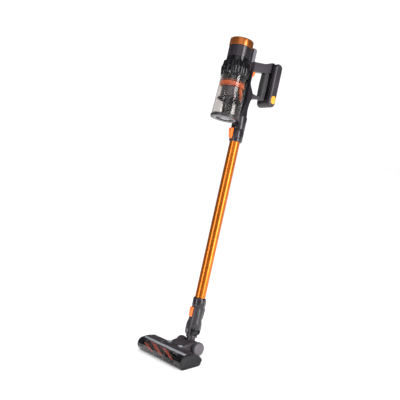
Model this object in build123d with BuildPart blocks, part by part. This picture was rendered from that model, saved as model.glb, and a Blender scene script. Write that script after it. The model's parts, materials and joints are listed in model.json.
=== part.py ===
"""Cordless stick vacuum: floor head, folding neck, wand and hand unit.

Millimetres, +Z up, front of the machine towards -Y.  The origin is on the floor at the
centre of the machine's footprint.  The wand leans back in the plane of symmetry X = 0.
"""
import os
from math import cos, radians, sin

from build123d import *

os.makedirs("parts", exist_ok=True)

# ---------------------------------------------------------------- driving dimensions
AXLE_Y = -131.9
WHEEL_R = 22.0
LEAN = 16.2  # wand, back from upright

# floor head, heights from the floor and depths from the axle (front is negative)
HEAD_W = 244.0
CAP_T = 5.0
SHELL_T = 2.5
BRUSH_Y = -106.0
BRUSH_Z = 20.5
BRUSH_R = 17.5
CORE_R = 11.0
NOSE_R = 21.5
SOLE_Z = 0.0
WINDOW_Y = -98.0  # rear edge of the clear window
WINDOW_Z = 9.0  # lower edge of the clear window
SPLIT_Z = 12.0  # joint of base and top cover

# wheels and neck
WHEEL_OUT = 53.0
WHEEL_IN = 40.0
AXLE_R = 3.0
RUN = 0.06  # running clearance on a radius
CRADLE_W = 76.0
BARREL_R = 18.4
SWIVEL_S = 48.0  # side-tilt pins, along the wand from the axle

# stations along the wand from the axle
ELBOW_TOP = 127.0
WAND_LOW = 161.0
WAND_HIGH = 701.0
COLLAR_LOW = 745.0
COLLAR_HIGH = 790.0
LID_LOW = 763.0
CUP_LOW = 771.0
CUP_HIGH = 905.0
CYCLONE_HIGH = 974.0
BAND_LOW = 1013.0
BAND_HIGH = 1040.0

# radii about the wand axis and about the dust barrel's axis
TUBE_R = 18.0
TUBE_T = 1.2
FIT_R = 21.5
BARREL_AXIS = -66.0  # dust barrel, ahead of the wand axis
CUP_R_LOW = 48.5
CUP_R_HIGH = 44.5
CUP_T = 2.0
LID_R = 50.0
HOUSING_R = 39.0
BAND_R = 40.3

# handle and battery, rearward from the wand axis
BAR_W = 28.0
GRIP_R = 72.0
RAIL_R = 80.0
PACK_R = 84.0
PACK_D = 33.0
PACK_W = 66.0
PACK_LOW = 857.0
PACK_HIGH = 1014.0
SOCKET_BORE_R = 2.75

# ---------------------------------------------------------------- working planes
STICK = Plane(
    origin=(0, AXLE_Y, WHEEL_R),
    x_dir=(1, 0, 0),
    z_dir=(0, sin(radians(LEAN)), cos(radians(LEAN))),
)
# local x = rearward, local y = along the wand or up
SIDE = Plane(origin=STICK.origin, x_dir=STICK.y_dir, z_dir=(1, 0, 0))
PROFILE = Plane(origin=(0, AXLE_Y, 0), x_dir=(0, 1, 0), z_dir=(1, 0, 0))


def across(station, rear=0.0, lateral=0.0):
    """Plane square to the wand, with local x lateral and local y rearward."""
    origin = STICK.from_local_coords((lateral, rear, station))
    return Plane(origin=origin, x_dir=(1, 0, 0), z_dir=STICK.z_dir)


def facing_front(station, rear):
    """Plane that faces forward off the wand, with local y along the wand."""
    origin = STICK.from_local_coords((0, rear, station))
    return Plane(origin=origin, x_dir=(1, 0, 0), z_dir=-STICK.y_dir)


def facing_rear(station, rear):
    """Plane that faces rearward off the wand, with local y along the wand."""
    origin = STICK.from_local_coords((0, rear, station))
    return Plane(origin=origin, x_dir=(-1, 0, 0), z_dir=STICK.y_dir)


def finish(piece, label):
    """Label a finished piece and write it."""
    piece.part.label = label
    export_step(piece.part, f"parts/{label}.step")


def revolved(points, axis_rear=0.0):
    """Solid of revolution about a line along the wand, from (radius, station) corners."""
    plane = Plane(
        origin=STICK.from_local_coords((0, axis_rear, 0)), x_dir=STICK.y_dir, z_dir=(1, 0, 0)
    )
    with BuildPart(mode=Mode.PRIVATE) as turned:
        with BuildSketch(plane):
            with BuildLine():
                Polyline(*points, close=True)
            make_face()
        revolve(axis=Axis(plane.origin, STICK.z_dir))
    return turned.part


def coil_spring(plane, radius, wire, length, turns):
    """Compression spring standing on a plane, at its pressed length."""
    with BuildPart(mode=Mode.PRIVATE) as spring:
        with BuildLine():
            coil = Helix(pitch=length / turns, height=length, radius=radius)
        with BuildSketch(Plane(origin=coil @ 0, z_dir=coil % 0)):
            Circle(wire / 2)
        sweep(path=coil, is_frenet=True)
    return plane.location * spring.part


# ================================================================ floor head
INNER_W = HEAD_W - 2 * CAP_T
FOOT_Y = BRUSH_Y - 11.0
HEEL_Y = -54.0


def head_outline(inset=0.0):
    """Side outline of the floor head, drawn on PROFILE and drawn in by inset."""
    nose = NOSE_R - inset
    with BuildSketch(PROFILE, mode=Mode.PRIVATE) as outline:
        with BuildLine():
            foot = (FOOT_Y + inset, SOLE_Z + inset)
            top = (BRUSH_Y, BRUSH_Z + nose)
            ThreePointArc(foot, (BRUSH_Y - nose, BRUSH_Z), top)
            Spline(top, (-80, 42.5 - inset), (-60, 37 - inset), (-42 - inset, 18), (HEEL_Y, SOLE_Z + inset))
            Line((HEEL_Y, SOLE_Z + inset), foot)
        make_face()
    return outline.sketch


def head_shell(low, high, inner=SHELL_T):
    """The head's thin shell between two corners (depth, height) of its side view."""
    centre = ((low[0] + high[0]) / 2, (low[1] + high[1]) / 2)
    with BuildPart(mode=Mode.PRIVATE) as shell:
        extrude(head_outline(), amount=INNER_W / 2, both=True)
        extrude(head_outline(inner), amount=INNER_W, both=True, mode=Mode.SUBTRACT)
        with BuildSketch(PROFILE):
            with Locations(centre):
                Rectangle(high[0] - low[0], high[1] - low[1])
        extrude(amount=INNER_W, both=True, mode=Mode.INTERSECT)
    return shell.part


# tray: front lip, sole with the suction mouth, rear wall
MOUTH_W = 208.0
MOUTH_FRONT = BRUSH_Y - 15.0
MOUTH_REAR = -82.0
with BuildPart() as head_base:
    add(head_shell((-140, 0), (WINDOW_Y, WINDOW_Z)))
    add(head_shell((WINDOW_Y, 0), (-30, SPLIT_Z)))
    with BuildSketch(Plane.XY):
        with Locations((0, AXLE_Y + (MOUTH_FRONT + MOUTH_REAR) / 2)):
            Rectangle(MOUTH_W, MOUTH_REAR - MOUTH_FRONT)
    extrude(amount=SOLE_Z + SHELL_T + 2, mode=Mode.SUBTRACT)
    # partition behind the brush chamber, open in the middle for the air
    with BuildSketch(Plane.XY.offset(SOLE_Z + SHELL_T)):
        with Locations((-64, AXLE_Y - 78), (64, AXLE_Y - 78)):
            Rectangle(64, 2.4)
    extrude(amount=30)
    # wells for the two front rollers
    with BuildSketch(Plane.XY):
        with Locations((-92, AXLE_Y - 64), (92, AXLE_Y - 64)):
            Rectangle(17, 20)
    extrude(amount=SOLE_Z + SHELL_T + 2, mode=Mode.SUBTRACT)
finish(head_base, "head_base")

with BuildPart() as head_top_cover:
    add(head_shell((WINDOW_Y, SPLIT_Z), (-30, 60)))
    # grooves along the cover
    for depth in (-88, -82, -76, -70):
        with BuildSketch(PROFILE):
            with Locations((depth, 43.6)):
                Circle(2.4)
        extrude(amount=INNER_W / 2 - 14, both=True, mode=Mode.SUBTRACT)
    # air outlet to the neck, and the room for the neck cradle
    with BuildSketch(PROFILE):
        with Locations((-42, 26)):
            Rectangle(20, 22)
    extrude(amount=26, both=True, mode=Mode.SUBTRACT)
finish(head_top_cover, "head_top_cover")

with BuildPart() as brush_window:
    add(head_shell((-140, WINDOW_Z), (WINDOW_Y, 60), 2.0))
finish(brush_window, "brush_window")

with BuildPart() as trim_bar:
    extrude(head_outline(-1.8), amount=INNER_W / 2 - 5, both=True)
    extrude(head_outline(), amount=INNER_W, both=True, mode=Mode.SUBTRACT)
    with BuildSketch(PROFILE):
        with Locations((-99, 44)):
            Rectangle(10, 8)
    extrude(amount=INNER_W, both=True, mode=Mode.INTERSECT)
finish(trim_bar, "trim_bar")

for side, label in ((-1, "side_cap_left"), (1, "side_cap_right")):
    with BuildPart() as side_cap:
        extrude(head_outline(), amount=side * (HEAD_W / 2 - 1.2))
        extrude(head_outline(1.4), amount=side * HEAD_W / 2)
        with BuildSketch(PROFILE):
            with Locations((-80, 30)):
                Rectangle(160, 100)
        extrude(amount=side * INNER_W / 2, mode=Mode.SUBTRACT)
    finish(side_cap, label)

# brush roll, with bristle and pile strips wound round the core
BRUSH_AXIS = PROFILE.from_local_coords((BRUSH_Y, BRUSH_Z, 0))
BRUSH_PLANE = Plane(origin=BRUSH_AXIS, x_dir=(0, 1, 0), z_dir=(1, 0, 0))
BRUSH_HALF = 105.0
BRUSH_PULLEY_R = 9.0
with BuildPart() as brush_core:
    with BuildSketch(BRUSH_PLANE):
        Circle(CORE_R)
    extrude(amount=BRUSH_HALF - 6, both=True)
    with BuildSketch(BRUSH_PLANE):
        Circle(4)
    extrude(amount=BRUSH_HALF + 5, both=True)
    with BuildSketch(BRUSH_PLANE.offset(BRUSH_HALF - 6)):
        Circle(BRUSH_PULLEY_R)
    extrude(amount=7)
finish(brush_core, "brush_core")


TWIST = 280.0  # how far a strip winds from one end to the other


def wound_strip(start, thick, tip):
    """One strip, wound about the brush core, rooted on its surface."""
    segments = 18
    length = 2 * (BRUSH_HALF - 8)
    with BuildPart(mode=Mode.PRIVATE) as strip:
        for step in range(segments + 1):
            place = BRUSH_PLANE.offset(-length / 2 + step * length / segments)
            with BuildSketch(place):
                with PolarLocations((CORE_R + 0.1 + tip) / 2, 1, start + step * TWIST / segments):
                    Rectangle(tip - CORE_R - 0.1, thick)
        loft(ruled=True)
    return strip.part


WINDINGS = (
    ("bristle_strips", 0, 2.2, BRUSH_R),
    ("pile_strips", 45, 11.0, BRUSH_R - 1.5),
)
for label, phase, thick, tip in WINDINGS:
    with BuildPart() as strips:
        for turn in range(4):
            add(wound_strip(phase + 90 * turn, thick, tip))
        with BuildSketch(BRUSH_PLANE):
            Circle(CORE_R)
        extrude(amount=BRUSH_HALF, both=True, mode=Mode.SUBTRACT)
    finish(strips, label)

BUSH_X = INNER_W / 2 - 0.1
with BuildPart() as brush_end_bush:
    for side in (-1, 1):
        with BuildSketch(BRUSH_PLANE.offset(side * BUSH_X)):
            Circle(8)
            Circle(4 + RUN, mode=Mode.SUBTRACT)
        extrude(amount=-side * 7)
finish(brush_end_bush, "brush_end_bush")

# brush drive behind the chamber
MOTOR_Y = -62.0
MOTOR_Z = 20.0
DRIVE_X = 100.0
MOTOR_PLANE = Plane(origin=(0, AXLE_Y + MOTOR_Y, MOTOR_Z), x_dir=(0, 1, 0), z_dir=(1, 0, 0))
PULLEY_R = 5.0
with BuildPart() as brush_motor:
    with BuildSketch(MOTOR_PLANE.offset(38)):
        Circle(11)
    extrude(amount=38)
    with BuildSketch(MOTOR_PLANE.offset(76)):
        Circle(4.5)
    extrude(amount=4)
finish(brush_motor, "brush_motor")

with BuildPart() as motor_pulley:
    with BuildSketch(MOTOR_PLANE.offset(80.4)):
        Circle(1.2)
    extrude(amount=DRIVE_X - 80.4)
    with BuildSketch(MOTOR_PLANE.offset(DRIVE_X)):
        Circle(PULLEY_R)
    extrude(amount=7)
finish(motor_pulley, "motor_pulley")

BELT_PLANE = BRUSH_PLANE.offset(DRIVE_X + 0.8)


def belt_loop(grow):
    """Filled outline round both pulleys, grown by a margin."""
    with BuildSketch(BELT_PLANE, mode=Mode.PRIVATE) as loop:
        Circle(BRUSH_PULLEY_R + grow)
        with Locations((MOTOR_Y - BRUSH_Y, MOTOR_Z - BRUSH_Z)):
            Circle(PULLEY_R + grow)
        make_hull()
    return loop.sketch


with BuildPart() as drive_belt:
    extrude(belt_loop(2.0), amount=5)
    extrude(belt_loop(0.5), amount=5, mode=Mode.SUBTRACT)
finish(drive_belt, "drive_belt")

# front rollers on their pins
ROLLER_Y = -64.0
ROLLER_R = 6.0
for side, label in ((-1, "left"), (1, "right")):
    roller_plane = Plane(
        origin=(side * 92, AXLE_Y + ROLLER_Y, ROLLER_R), x_dir=(0, 1, 0), z_dir=(1, 0, 0)
    )
    with BuildPart() as front_roller:
        with BuildSketch(roller_plane):
            Circle(ROLLER_R)
            Circle(1.5 + RUN, mode=Mode.SUBTRACT)
        extrude(amount=5, both=True)
    finish(front_roller, f"front_roller_{label}")
with BuildPart() as sole_fasteners:
    for side in (-1, 1):
        roller_plane = Plane(
            origin=(side * 92, AXLE_Y + ROLLER_Y, ROLLER_R), x_dir=(0, 1, 0), z_dir=(1, 0, 0)
        )
        with BuildSketch(roller_plane):
            Circle(1.5)
        extrude(amount=10.5, both=True)
    for place in ((-106, -62), (112, -62), (-24, -66), (24, -66)):
        with BuildSketch(Plane.XY.offset(SOLE_Z + SHELL_T)):
            with Locations((place[0], AXLE_Y + place[1])):
                Circle(1.5)
        extrude(amount=8)
finish(sole_fasteners, "sole_fasteners")

# rear wheels: a drum with a rubber tread and a hub disc let into its outer face
AXLE = Plane(origin=(0, AXLE_Y, WHEEL_R), x_dir=(0, 1, 0), z_dir=(1, 0, 0))
for side, label in ((-1, "left"), (1, "right")):
    with BuildPart() as wheel_tyre:
        with BuildSketch(AXLE.offset(side * WHEEL_IN)):
            Circle(WHEEL_R)
            Circle(8, mode=Mode.SUBTRACT)
        extrude(amount=side * (WHEEL_OUT - WHEEL_IN - 1))
        with BuildSketch(AXLE.offset(side * (WHEEL_OUT - 1))):
            Circle(WHEEL_R - 2.5)
        extrude(amount=-side * 3, mode=Mode.SUBTRACT)
    finish(wheel_tyre, f"wheel_tyre_{label}")
    with BuildPart() as wheel_hub:
        with BuildSketch(AXLE.offset(side * (WHEEL_OUT - 4))):
            Circle(WHEEL_R - 2.6)
        extrude(amount=side * 4)
        with BuildSketch(AXLE.offset(side * (WHEEL_IN + 0.1))):
            Circle(8)
        extrude(amount=side * (WHEEL_OUT - 4 - WHEEL_IN - 0.1))
        with BuildSketch(AXLE.offset(side * WHEEL_IN)):
            Circle(AXLE_R + RUN)
        extrude(amount=side * (WHEEL_OUT - 4 - WHEEL_IN), mode=Mode.SUBTRACT)
    finish(wheel_hub, f"wheel_hub_{label}")

with BuildPart() as wheel_axle:
    with BuildSketch(AXLE):
        Circle(AXLE_R)
    extrude(amount=WHEEL_OUT - 4.5, both=True)
finish(wheel_axle, "wheel_axle")

# housing behind the head that carries the axle and covers the turning barrel
CRADLE_END = 2.6
with BuildPart() as neck_cradle:
    with BuildSketch(PROFILE):
        with BuildLine():
            Spline((-62, 36), (-48, 44), (-20, 45.5), (0, 44.6))
            ThreePointArc((0, 44.6), (17, 37), (22.6, 22))
            Polyline((22.6, 22), (18, 7), (-44, 7), (-62, 16), (-62, 36))
        make_face()
    extrude(amount=CRADLE_W / 2, both=True)
    extrude(head_outline(-0.05), amount=CRADLE_W, both=True, mode=Mode.SUBTRACT)
    with BuildSketch(AXLE):
        Circle(BARREL_R + 0.5)
    extrude(amount=CRADLE_W / 2 - CRADLE_END, both=True, mode=Mode.SUBTRACT)
    with BuildSketch(AXLE):
        Circle(AXLE_R)
    extrude(amount=CRADLE_W, both=True, mode=Mode.SUBTRACT)
    # slot for the neck, from upright round to the back
    with BuildSketch(PROFILE):
        with BuildLine():
            Polyline((-15.6, 22), (-15.6, 60), (70, 60), (70, 0), (0, 8), (0, 22), close=True)
        make_face()
    extrude(amount=16.5, both=True, mode=Mode.SUBTRACT)
    # air way forward into the head
    with BuildSketch(PROFILE):
        with Locations((-30, 24)):
            Rectangle(40, 22)
    extrude(amount=22, both=True, mode=Mode.SUBTRACT)
finish(neck_cradle, "neck_cradle")

# ================================================================ neck and elbow
NECK_R = 14.6
LUG_IN = 15.2
LUG_OUT = 19.0
CHEEK_IN = 19.4
CHEEK_OUT = 24.4
PIN_R = 2.5
PIVOT_R = 7.0
with BuildPart() as neck_barrel:
    with BuildSketch(AXLE):
        Circle(BARREL_R)
    extrude(amount=CRADLE_W / 2 - CRADLE_END - 0.4, both=True)
    with BuildSketch(across(0)):
        Circle(NECK_R)
    extrude(amount=35)
    # lugs for the side-tilt pins
    for face in (-1, 1):
        with BuildSketch(SIDE):
            with Locations((face * (NECK_R - 1 + LUG_OUT) / 2, 31)):
                Rectangle(LUG_OUT - NECK_R + 1, 8)
        extrude(amount=7, both=True)
        with BuildSketch(SIDE):
            with Locations((face * (LUG_IN + LUG_OUT) / 2, 40)):
                Rectangle(LUG_OUT - LUG_IN, 14)
        extrude(amount=7, both=True)
        with BuildSketch(facing_rear(SWIVEL_S, face * LUG_IN)):
            Circle(PIVOT_R)
        extrude(amount=face * (LUG_OUT - LUG_IN))
    with BuildSketch(facing_rear(SWIVEL_S, 0)):
        Circle(PIN_R + RUN)
    extrude(amount=40, both=True, mode=Mode.SUBTRACT)
    with BuildSketch(across(0)):
        Circle(NECK_R - 2.4)
    extrude(amount=60, mode=Mode.SUBTRACT)
    with BuildSketch(AXLE):
        Circle(BARREL_R - 2.6)
    extrude(amount=CRADLE_W / 2 - 5.5, both=True, mode=Mode.SUBTRACT)
    with BuildSketch(PROFILE):
        with Locations((-14, 22)):
            Rectangle(16, 18)
    extrude(amount=20, both=True, mode=Mode.SUBTRACT)
    with BuildSketch(AXLE):
        Circle(AXLE_R + RUN)
    extrude(amount=CRADLE_W / 2, both=True, mode=Mode.SUBTRACT)
finish(neck_barrel, "neck_barrel")

# bellows hose: a ball centred on the side-tilt pins, so it clears at every tilt
with BuildPart() as neck_hose:
    ball = NECK_R - 0.4
    ribs = 7
    corners = [(10.0, SWIVEL_S - 12.6)]
    for rib in range(ribs * 2 + 1):
        height = -9.6 + rib * 19.2 / (ribs * 2)
        radius = (ball**2 - height**2) ** 0.5 - (0.0 if rib % 2 else 1.1)
        corners.append((radius, SWIVEL_S + height))
    corners.append((10.0, SWIVEL_S + 12.6))
    corners.append((8.6, SWIVEL_S + 12.6))
    corners.append((8.6, SWIVEL_S - 12.6))
    add(revolved(corners))
finish(neck_hose, "neck_hose")

SOCKET_R = 18.0
BUTTON_SEAT = 19.0  # floor of the release buttons' seats
with BuildPart() as elbow_fork:
    add(
        revolved(
            [
                (SOCKET_R, 94), (16.2, 94), (16.2, 63), (20.4, 63), (20.4, 55.5), (CHEEK_OUT, 55.5),
                (CHEEK_OUT, 80), (FIT_R + 0.4, 90), (FIT_R + 0.4, ELBOW_TOP), (SOCKET_R, ELBOW_TOP),
            ]
        )
    )
    for face in (-1, 1):
        with BuildSketch(facing_rear(56, face * CHEEK_IN)):
            Rectangle(24, 16)
        extrude(amount=face * (CHEEK_OUT - CHEEK_IN))
        with BuildSketch(facing_rear(SWIVEL_S, face * CHEEK_IN)):
            Circle(12)
        extrude(amount=face * (CHEEK_OUT - CHEEK_IN))
    with BuildSketch(facing_rear(SWIVEL_S, 0)):
        Circle(PIN_R)
    extrude(amount=40, both=True, mode=Mode.SUBTRACT)
    # seat of the release button
    with BuildSketch(facing_front(111, -BUTTON_SEAT)):
        RectangleRounded(13.4, 33.4, 3)
    extrude(amount=12, mode=Mode.SUBTRACT)
    with BuildSketch(SIDE):
        with Locations((FIT_R + 3, 104)):
            Rectangle(8, 44)
    extrude(amount=8, both=True)
    with BuildSketch(across(62)):
        Circle(SOCKET_R)
    extrude(amount=70, mode=Mode.SUBTRACT)
    add(
        revolved(
            [(SOCKET_R, 94), (16.2, 94), (16.2, 63), (SOCKET_R, 63)]
        )
    )
finish(elbow_fork, "elbow_fork")

with BuildPart() as swivel_pins:
    for face in (-1, 1):
        with BuildSketch(facing_rear(SWIVEL_S, face * LUG_IN)):
            Circle(PIN_R)
        extrude(amount=face * (CHEEK_OUT - LUG_IN))
        with BuildSketch(facing_rear(SWIVEL_S, face * CHEEK_OUT)):
            Circle(5)
        extrude(amount=face * 1.6)
finish(swivel_pins, "swivel_pins")


def release_button(low, high, thin, thick, inner):
    """Wedge-shaped release button on the front of a fitting, thicker at its top."""
    with BuildPart(mode=Mode.PRIVATE) as button:
        with BuildSketch(SIDE):
            with BuildLine():
                Polyline(
                    (-inner, low), (-inner, high), (-thick, high), (-thick, high - 10),
                    (-thin, low + 2), (-thin + 2, low), close=True,
                )
            make_face()
        extrude(amount=6.5, both=True)
        fillet(button.edges().filter_by(Axis.X), 1.2)
    return button.part


with BuildPart() as lower_button:
    add(release_button(95, 126.4, 26.5, 28.5, BUTTON_SEAT + 3.3))
finish(lower_button, "lower_button")

with BuildPart() as lower_button_spring:
    add(coil_spring(facing_front(111, -BUTTON_SEAT - 0.3), 2.2, 0.4, 0.9, 2))
finish(lower_button_spring, "lower_button_spring")

# ================================================================ wand
SPIGOT_R = SOCKET_R - 0.1
with BuildPart() as wand_tube:
    with BuildSketch(across(WAND_LOW - 12)):
        Circle(TUBE_R)
        Circle(TUBE_R - TUBE_T, mode=Mode.SUBTRACT)
    extrude(amount=WAND_HIGH - WAND_LOW + 24)
finish(wand_tube, "wand_tube")

with BuildPart() as wand_lower_fitting:
    add(
        revolved(
            [
                (15.8, 96), (SPIGOT_R, 96), (SPIGOT_R, ELBOW_TOP + 0.3), (FIT_R, ELBOW_TOP + 0.3),
                (FIT_R + 0.6, WAND_LOW - 6), (FIT_R - 1.5, WAND_LOW), (TUBE_R, WAND_LOW),
                (TUBE_R, WAND_LOW - 12), (15.8, WAND_LOW - 12),
            ]
        )
    )
    with BuildSketch(SIDE):
        with BuildLine():
            Polyline(
                (TUBE_R + 1, ELBOW_TOP + 0.3), (FIT_R + 4, ELBOW_TOP + 0.3), (FIT_R + 4, WAND_LOW - 8),
                (FIT_R, WAND_LOW - 1), (TUBE_R + 1, WAND_LOW - 1), close=True,
            )
        make_face()
    extrude(amount=8, both=True)
finish(wand_lower_fitting, "wand_lower_fitting")

with BuildPart() as wand_upper_fitting:
    add(
        revolved(
            [
                (15.8, WAND_HIGH + 12), (TUBE_R, WAND_HIGH + 12), (TUBE_R, WAND_HIGH),
                (FIT_R - 1.5, WAND_HIGH), (FIT_R, WAND_HIGH + 4), (FIT_R + 0.5, COLLAR_LOW - 0.3),
                (SOCKET_R, COLLAR_LOW - 0.3), (SOCKET_R, WAND_HIGH + 16), (15.8, WAND_HIGH + 16),
            ]
        )
    )
    with BuildSketch(SIDE):
        with BuildLine():
            Polyline(
                (TUBE_R + 1, WAND_HIGH + 1), (FIT_R, WAND_HIGH + 1), (FIT_R + 3, WAND_HIGH + 8),
                (FIT_R + 3, COLLAR_LOW - 0.3), (TUBE_R + 1, COLLAR_LOW - 0.3), close=True,
            )
        make_face()
    extrude(amount=8, both=True)
    with BuildSketch(facing_front(727, -BUTTON_SEAT)):
        RectangleRounded(13.4, 37.4, 3)
    extrude(amount=12, mode=Mode.SUBTRACT)
finish(wand_upper_fitting, "wand_upper_fitting")

with BuildPart() as upper_button:
    add(release_button(709, 744, 26.5, 33, BUTTON_SEAT + 3.3))
finish(upper_button, "upper_button")

with BuildPart() as upper_button_spring:
    add(coil_spring(facing_front(727, -BUTTON_SEAT - 0.3), 2.2, 0.4, 0.9, 2))
finish(upper_button_spring, "upper_button_spring")

with BuildPart() as wand_conduit:
    with BuildSketch(across(WAND_LOW)):
        with Locations((0, 14.2)):
            RectangleRounded(9, 3, 1)
    extrude(amount=WAND_HIGH - WAND_LOW)
finish(wand_conduit, "wand_conduit")

# ================================================================ dust barrel
with BuildPart() as clear_cup:
    add(
        revolved(
            [
                (CUP_R_LOW, CUP_LOW), (CUP_R_HIGH, CUP_HIGH), (CUP_R_HIGH - CUP_T, CUP_HIGH),
                (CUP_R_LOW - CUP_T, CUP_LOW),
            ],
            BARREL_AXIS,
        )
    )
finish(clear_cup, "clear_cup")

POST_R = 17.0
SHROUD_R = 32.5
SKIRT_R = 40.5
COLLAR_R = 46.5
with BuildPart() as cup_collar:
    add(
        revolved(
            [
                (0, 890), (42, 890), (42, CUP_HIGH + 0.2), (COLLAR_R, CUP_HIGH + 0.2),
                (COLLAR_R, 909), (0, 909),
            ],
            BARREL_AXIS,
        )
    )
finish(cup_collar, "cup_collar")

with BuildPart() as seal_ring:
    add(
        revolved(
            [(SHROUD_R, 889.8), (41.8, 889.8), (42.4, 882), (36.5, 864), (SHROUD_R, 864)],
            BARREL_AXIS,
        )
    )
    # spiral guide that sends the air down and round
    for step in range(9):
        with BuildSketch(
            Plane(
                origin=STICK.from_local_coords((0, BARREL_AXIS, 874 - step * 2.2)),
                x_dir=STICK.y_dir,
                z_dir=STICK.z_dir,
            )
        ):
            with PolarLocations(SHROUD_R + 3.4, 1, -70 + step * 10):
                Rectangle(6.6, 7)
        extrude(amount=-3)
    with BuildSketch(across(830, BARREL_AXIS)):
        Circle(SHROUD_R)
    extrude(amount=60, mode=Mode.SUBTRACT)
finish(seal_ring, "seal_ring")

with BuildPart() as mesh_shroud:
    add(
        revolved(
            [(SHROUD_R - 1.6, 889.8), (SHROUD_R - 0.1, 889.8), (SHROUD_R - 0.1, 836), (SHROUD_R - 1.6, 836)],
            BARREL_AXIS,
        )
    )
finish(mesh_shroud, "mesh_shroud")

with BuildPart() as skirt_and_post:
    add(
        revolved(
            [
                (0, 889.8), (12, 889.8), (POST_R, 836), (SHROUD_R, 835.9), (SKIRT_R, 826),
                (SKIRT_R - 0.8, 823.5), (POST_R + 4, 814), (POST_R, 806), (14.5, CUP_LOW + 3),
                (0, CUP_LOW + 3),
            ],
            BARREL_AXIS,
        )
    )
finish(skirt_and_post, "skirt_and_post")

# lid, hinged at its rear on the spine
HINGE_REAR = -14.5
HINGE_S = 759.4
HINGE_R = 1.2
KNUCKLE_R = 2.8
KNUCKLE_W = 14.0
EAR_R = 3.0
RIM_IN = 45.7
with BuildPart() as cup_lid:
    add(
        revolved(
            [
                (0, LID_LOW + 3), (30, LID_LOW + 3), (33, LID_LOW), (LID_R, LID_LOW), (LID_R, CUP_LOW - 0.4),
                (RIM_IN, CUP_LOW - 0.4), (RIM_IN, CUP_LOW + 1.6), (43, CUP_LOW + 1.6), (43, CUP_LOW - 2),
                (0, CUP_LOW - 2),
            ],
            BARREL_AXIS,
        )
    )
    # knuckle
    with BuildSketch(SIDE):
        with Locations((HINGE_REAR, HINGE_S)):
            Circle(KNUCKLE_R)
        with BuildLine():
            Polyline(
                (HINGE_REAR, HINGE_S - KNUCKLE_R), (HINGE_REAR + KNUCKLE_R, HINGE_S),
                (HINGE_REAR - 2.4, LID_LOW + 3), (HINGE_REAR - 10, LID_LOW + 3), (HINGE_REAR - 10, LID_LOW),
                close=True,
            )
        make_face()
    extrude(amount=KNUCKLE_W / 2, both=True)
    with BuildSketch(SIDE):
        with Locations((HINGE_REAR, HINGE_S)):
            Circle(HINGE_R + RUN)
    extrude(amount=KNUCKLE_W, both=True, mode=Mode.SUBTRACT)
finish(cup_lid, "cup_lid")

with BuildPart() as lid_seal:
    add(
        revolved(
            [
                (43.1, CUP_LOW + 1.7), (RIM_IN - 0.2, CUP_LOW + 1.7), (RIM_IN - 0.2, CUP_LOW + 3.2),
                (43.1, CUP_LOW + 3.2),
            ],
            BARREL_AXIS,
        )
    )
finish(lid_seal, "lid_seal")

with BuildPart() as lid_hinge_pin:
    with BuildSketch(SIDE):
        with Locations((HINGE_REAR, HINGE_S)):
            Circle(HINGE_R)
    extrude(amount=KNUCKLE_W / 2 + 5, both=True)
finish(lid_hinge_pin, "lid_hinge_pin")

# cyclone cluster: two tiers of cones round a core
CONES = 12
TIERS = (
    (36.0, 958.0, 9.5, 918.0, 13.0),
    (39.5, 940.0, 11.0, 912.0, 8.0),
)
with BuildPart() as cyclone_cluster:
    add(
        revolved(
            [
                (0, 909.2), (44, 909.2), (46, 916), (46, 932), (40, 956), (HOUSING_R, CYCLONE_HIGH - 0.2),
                (0, CYCLONE_HIGH - 0.2),
            ],
            BARREL_AXIS,
        )
    )
    for tier, (ring, high, top_r, low, low_r) in enumerate(TIERS):
        for cone in range(CONES):
            angle = radians(360 / CONES * (cone + tier / 2))
            centre = across(low, BARREL_AXIS + ring * sin(angle), ring * cos(angle))
            with BuildSketch(centre):
                Circle(low_r)
            with BuildSketch(centre.offset(high - low)):
                Circle(top_r)
            loft()
finish(cyclone_cluster, "cyclone_cluster")

MOTOR_R = 26.0
with BuildPart() as motor_housing:
    add(
        revolved(
            [
                (HOUSING_R, CYCLONE_HIGH), (HOUSING_R, BAND_LOW - 0.4), (HOUSING_R - 2.5, BAND_LOW - 0.4),
                (HOUSING_R - 2.5, CYCLONE_HIGH + 2.5), (0, CYCLONE_HIGH + 2.5), (0, CYCLONE_HIGH),
            ],
            BARREL_AXIS,
        )
    )
finish(motor_housing, "motor_housing")

with BuildPart() as suction_motor:
    with BuildSketch(across(CYCLONE_HIGH + 10, BARREL_AXIS)):
        Circle(MOTOR_R)
    extrude(amount=26)
    with BuildSketch(across(CYCLONE_HIGH + 2.6, BARREL_AXIS)):
        with PolarLocations(MOTOR_R + 2, 3):
            Circle(3)
    extrude(amount=20)
    with BuildSketch(across(CYCLONE_HIGH + 8, BARREL_AXIS)):
        Circle(2.5 + RUN)
    extrude(amount=10, mode=Mode.SUBTRACT)
finish(suction_motor, "suction_motor")

with BuildPart() as impeller:
    with BuildSketch(across(CYCLONE_HIGH + 3.2, BARREL_AXIS)):
        Circle(2.5)
    extrude(amount=14)
    with BuildSketch(across(CYCLONE_HIGH + 3.2, BARREL_AXIS)):
        Circle(22)
    extrude(amount=1.4)
    with BuildSketch(across(CYCLONE_HIGH + 4.5, BARREL_AXIS)):
        with PolarLocations(12, 9):
            Rectangle(18, 1.4)
    extrude(amount=4.4)
finish(impeller, "impeller")

with BuildPart() as filter_cap:
    add(
        revolved(
            [
                (0, BAND_HIGH - 2.4), (0, BAND_HIGH - 0.4), (BAND_R - 5, BAND_HIGH - 0.4),
                (BAND_R - 5, BAND_HIGH), (BAND_R - 3, BAND_HIGH), (BAND_R, BAND_HIGH - 3),
                (BAND_R, BAND_LOW), (BAND_R - 3, BAND_LOW),
                (BAND_R - 3, BAND_HIGH - 4), (BAND_R - 5, BAND_HIGH - 4), (BAND_R - 5, BAND_HIGH - 2.4),
            ],
            BARREL_AXIS,
        )
    )
    with BuildSketch(across(BAND_HIGH, BARREL_AXIS)):
        with PolarLocations(24, 18):
            Rectangle(14, 3)
        with PolarLocations(10, 9):
            Rectangle(6, 2.2)
    extrude(amount=-5, mode=Mode.SUBTRACT)
finish(filter_cap, "filter_cap")

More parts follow.
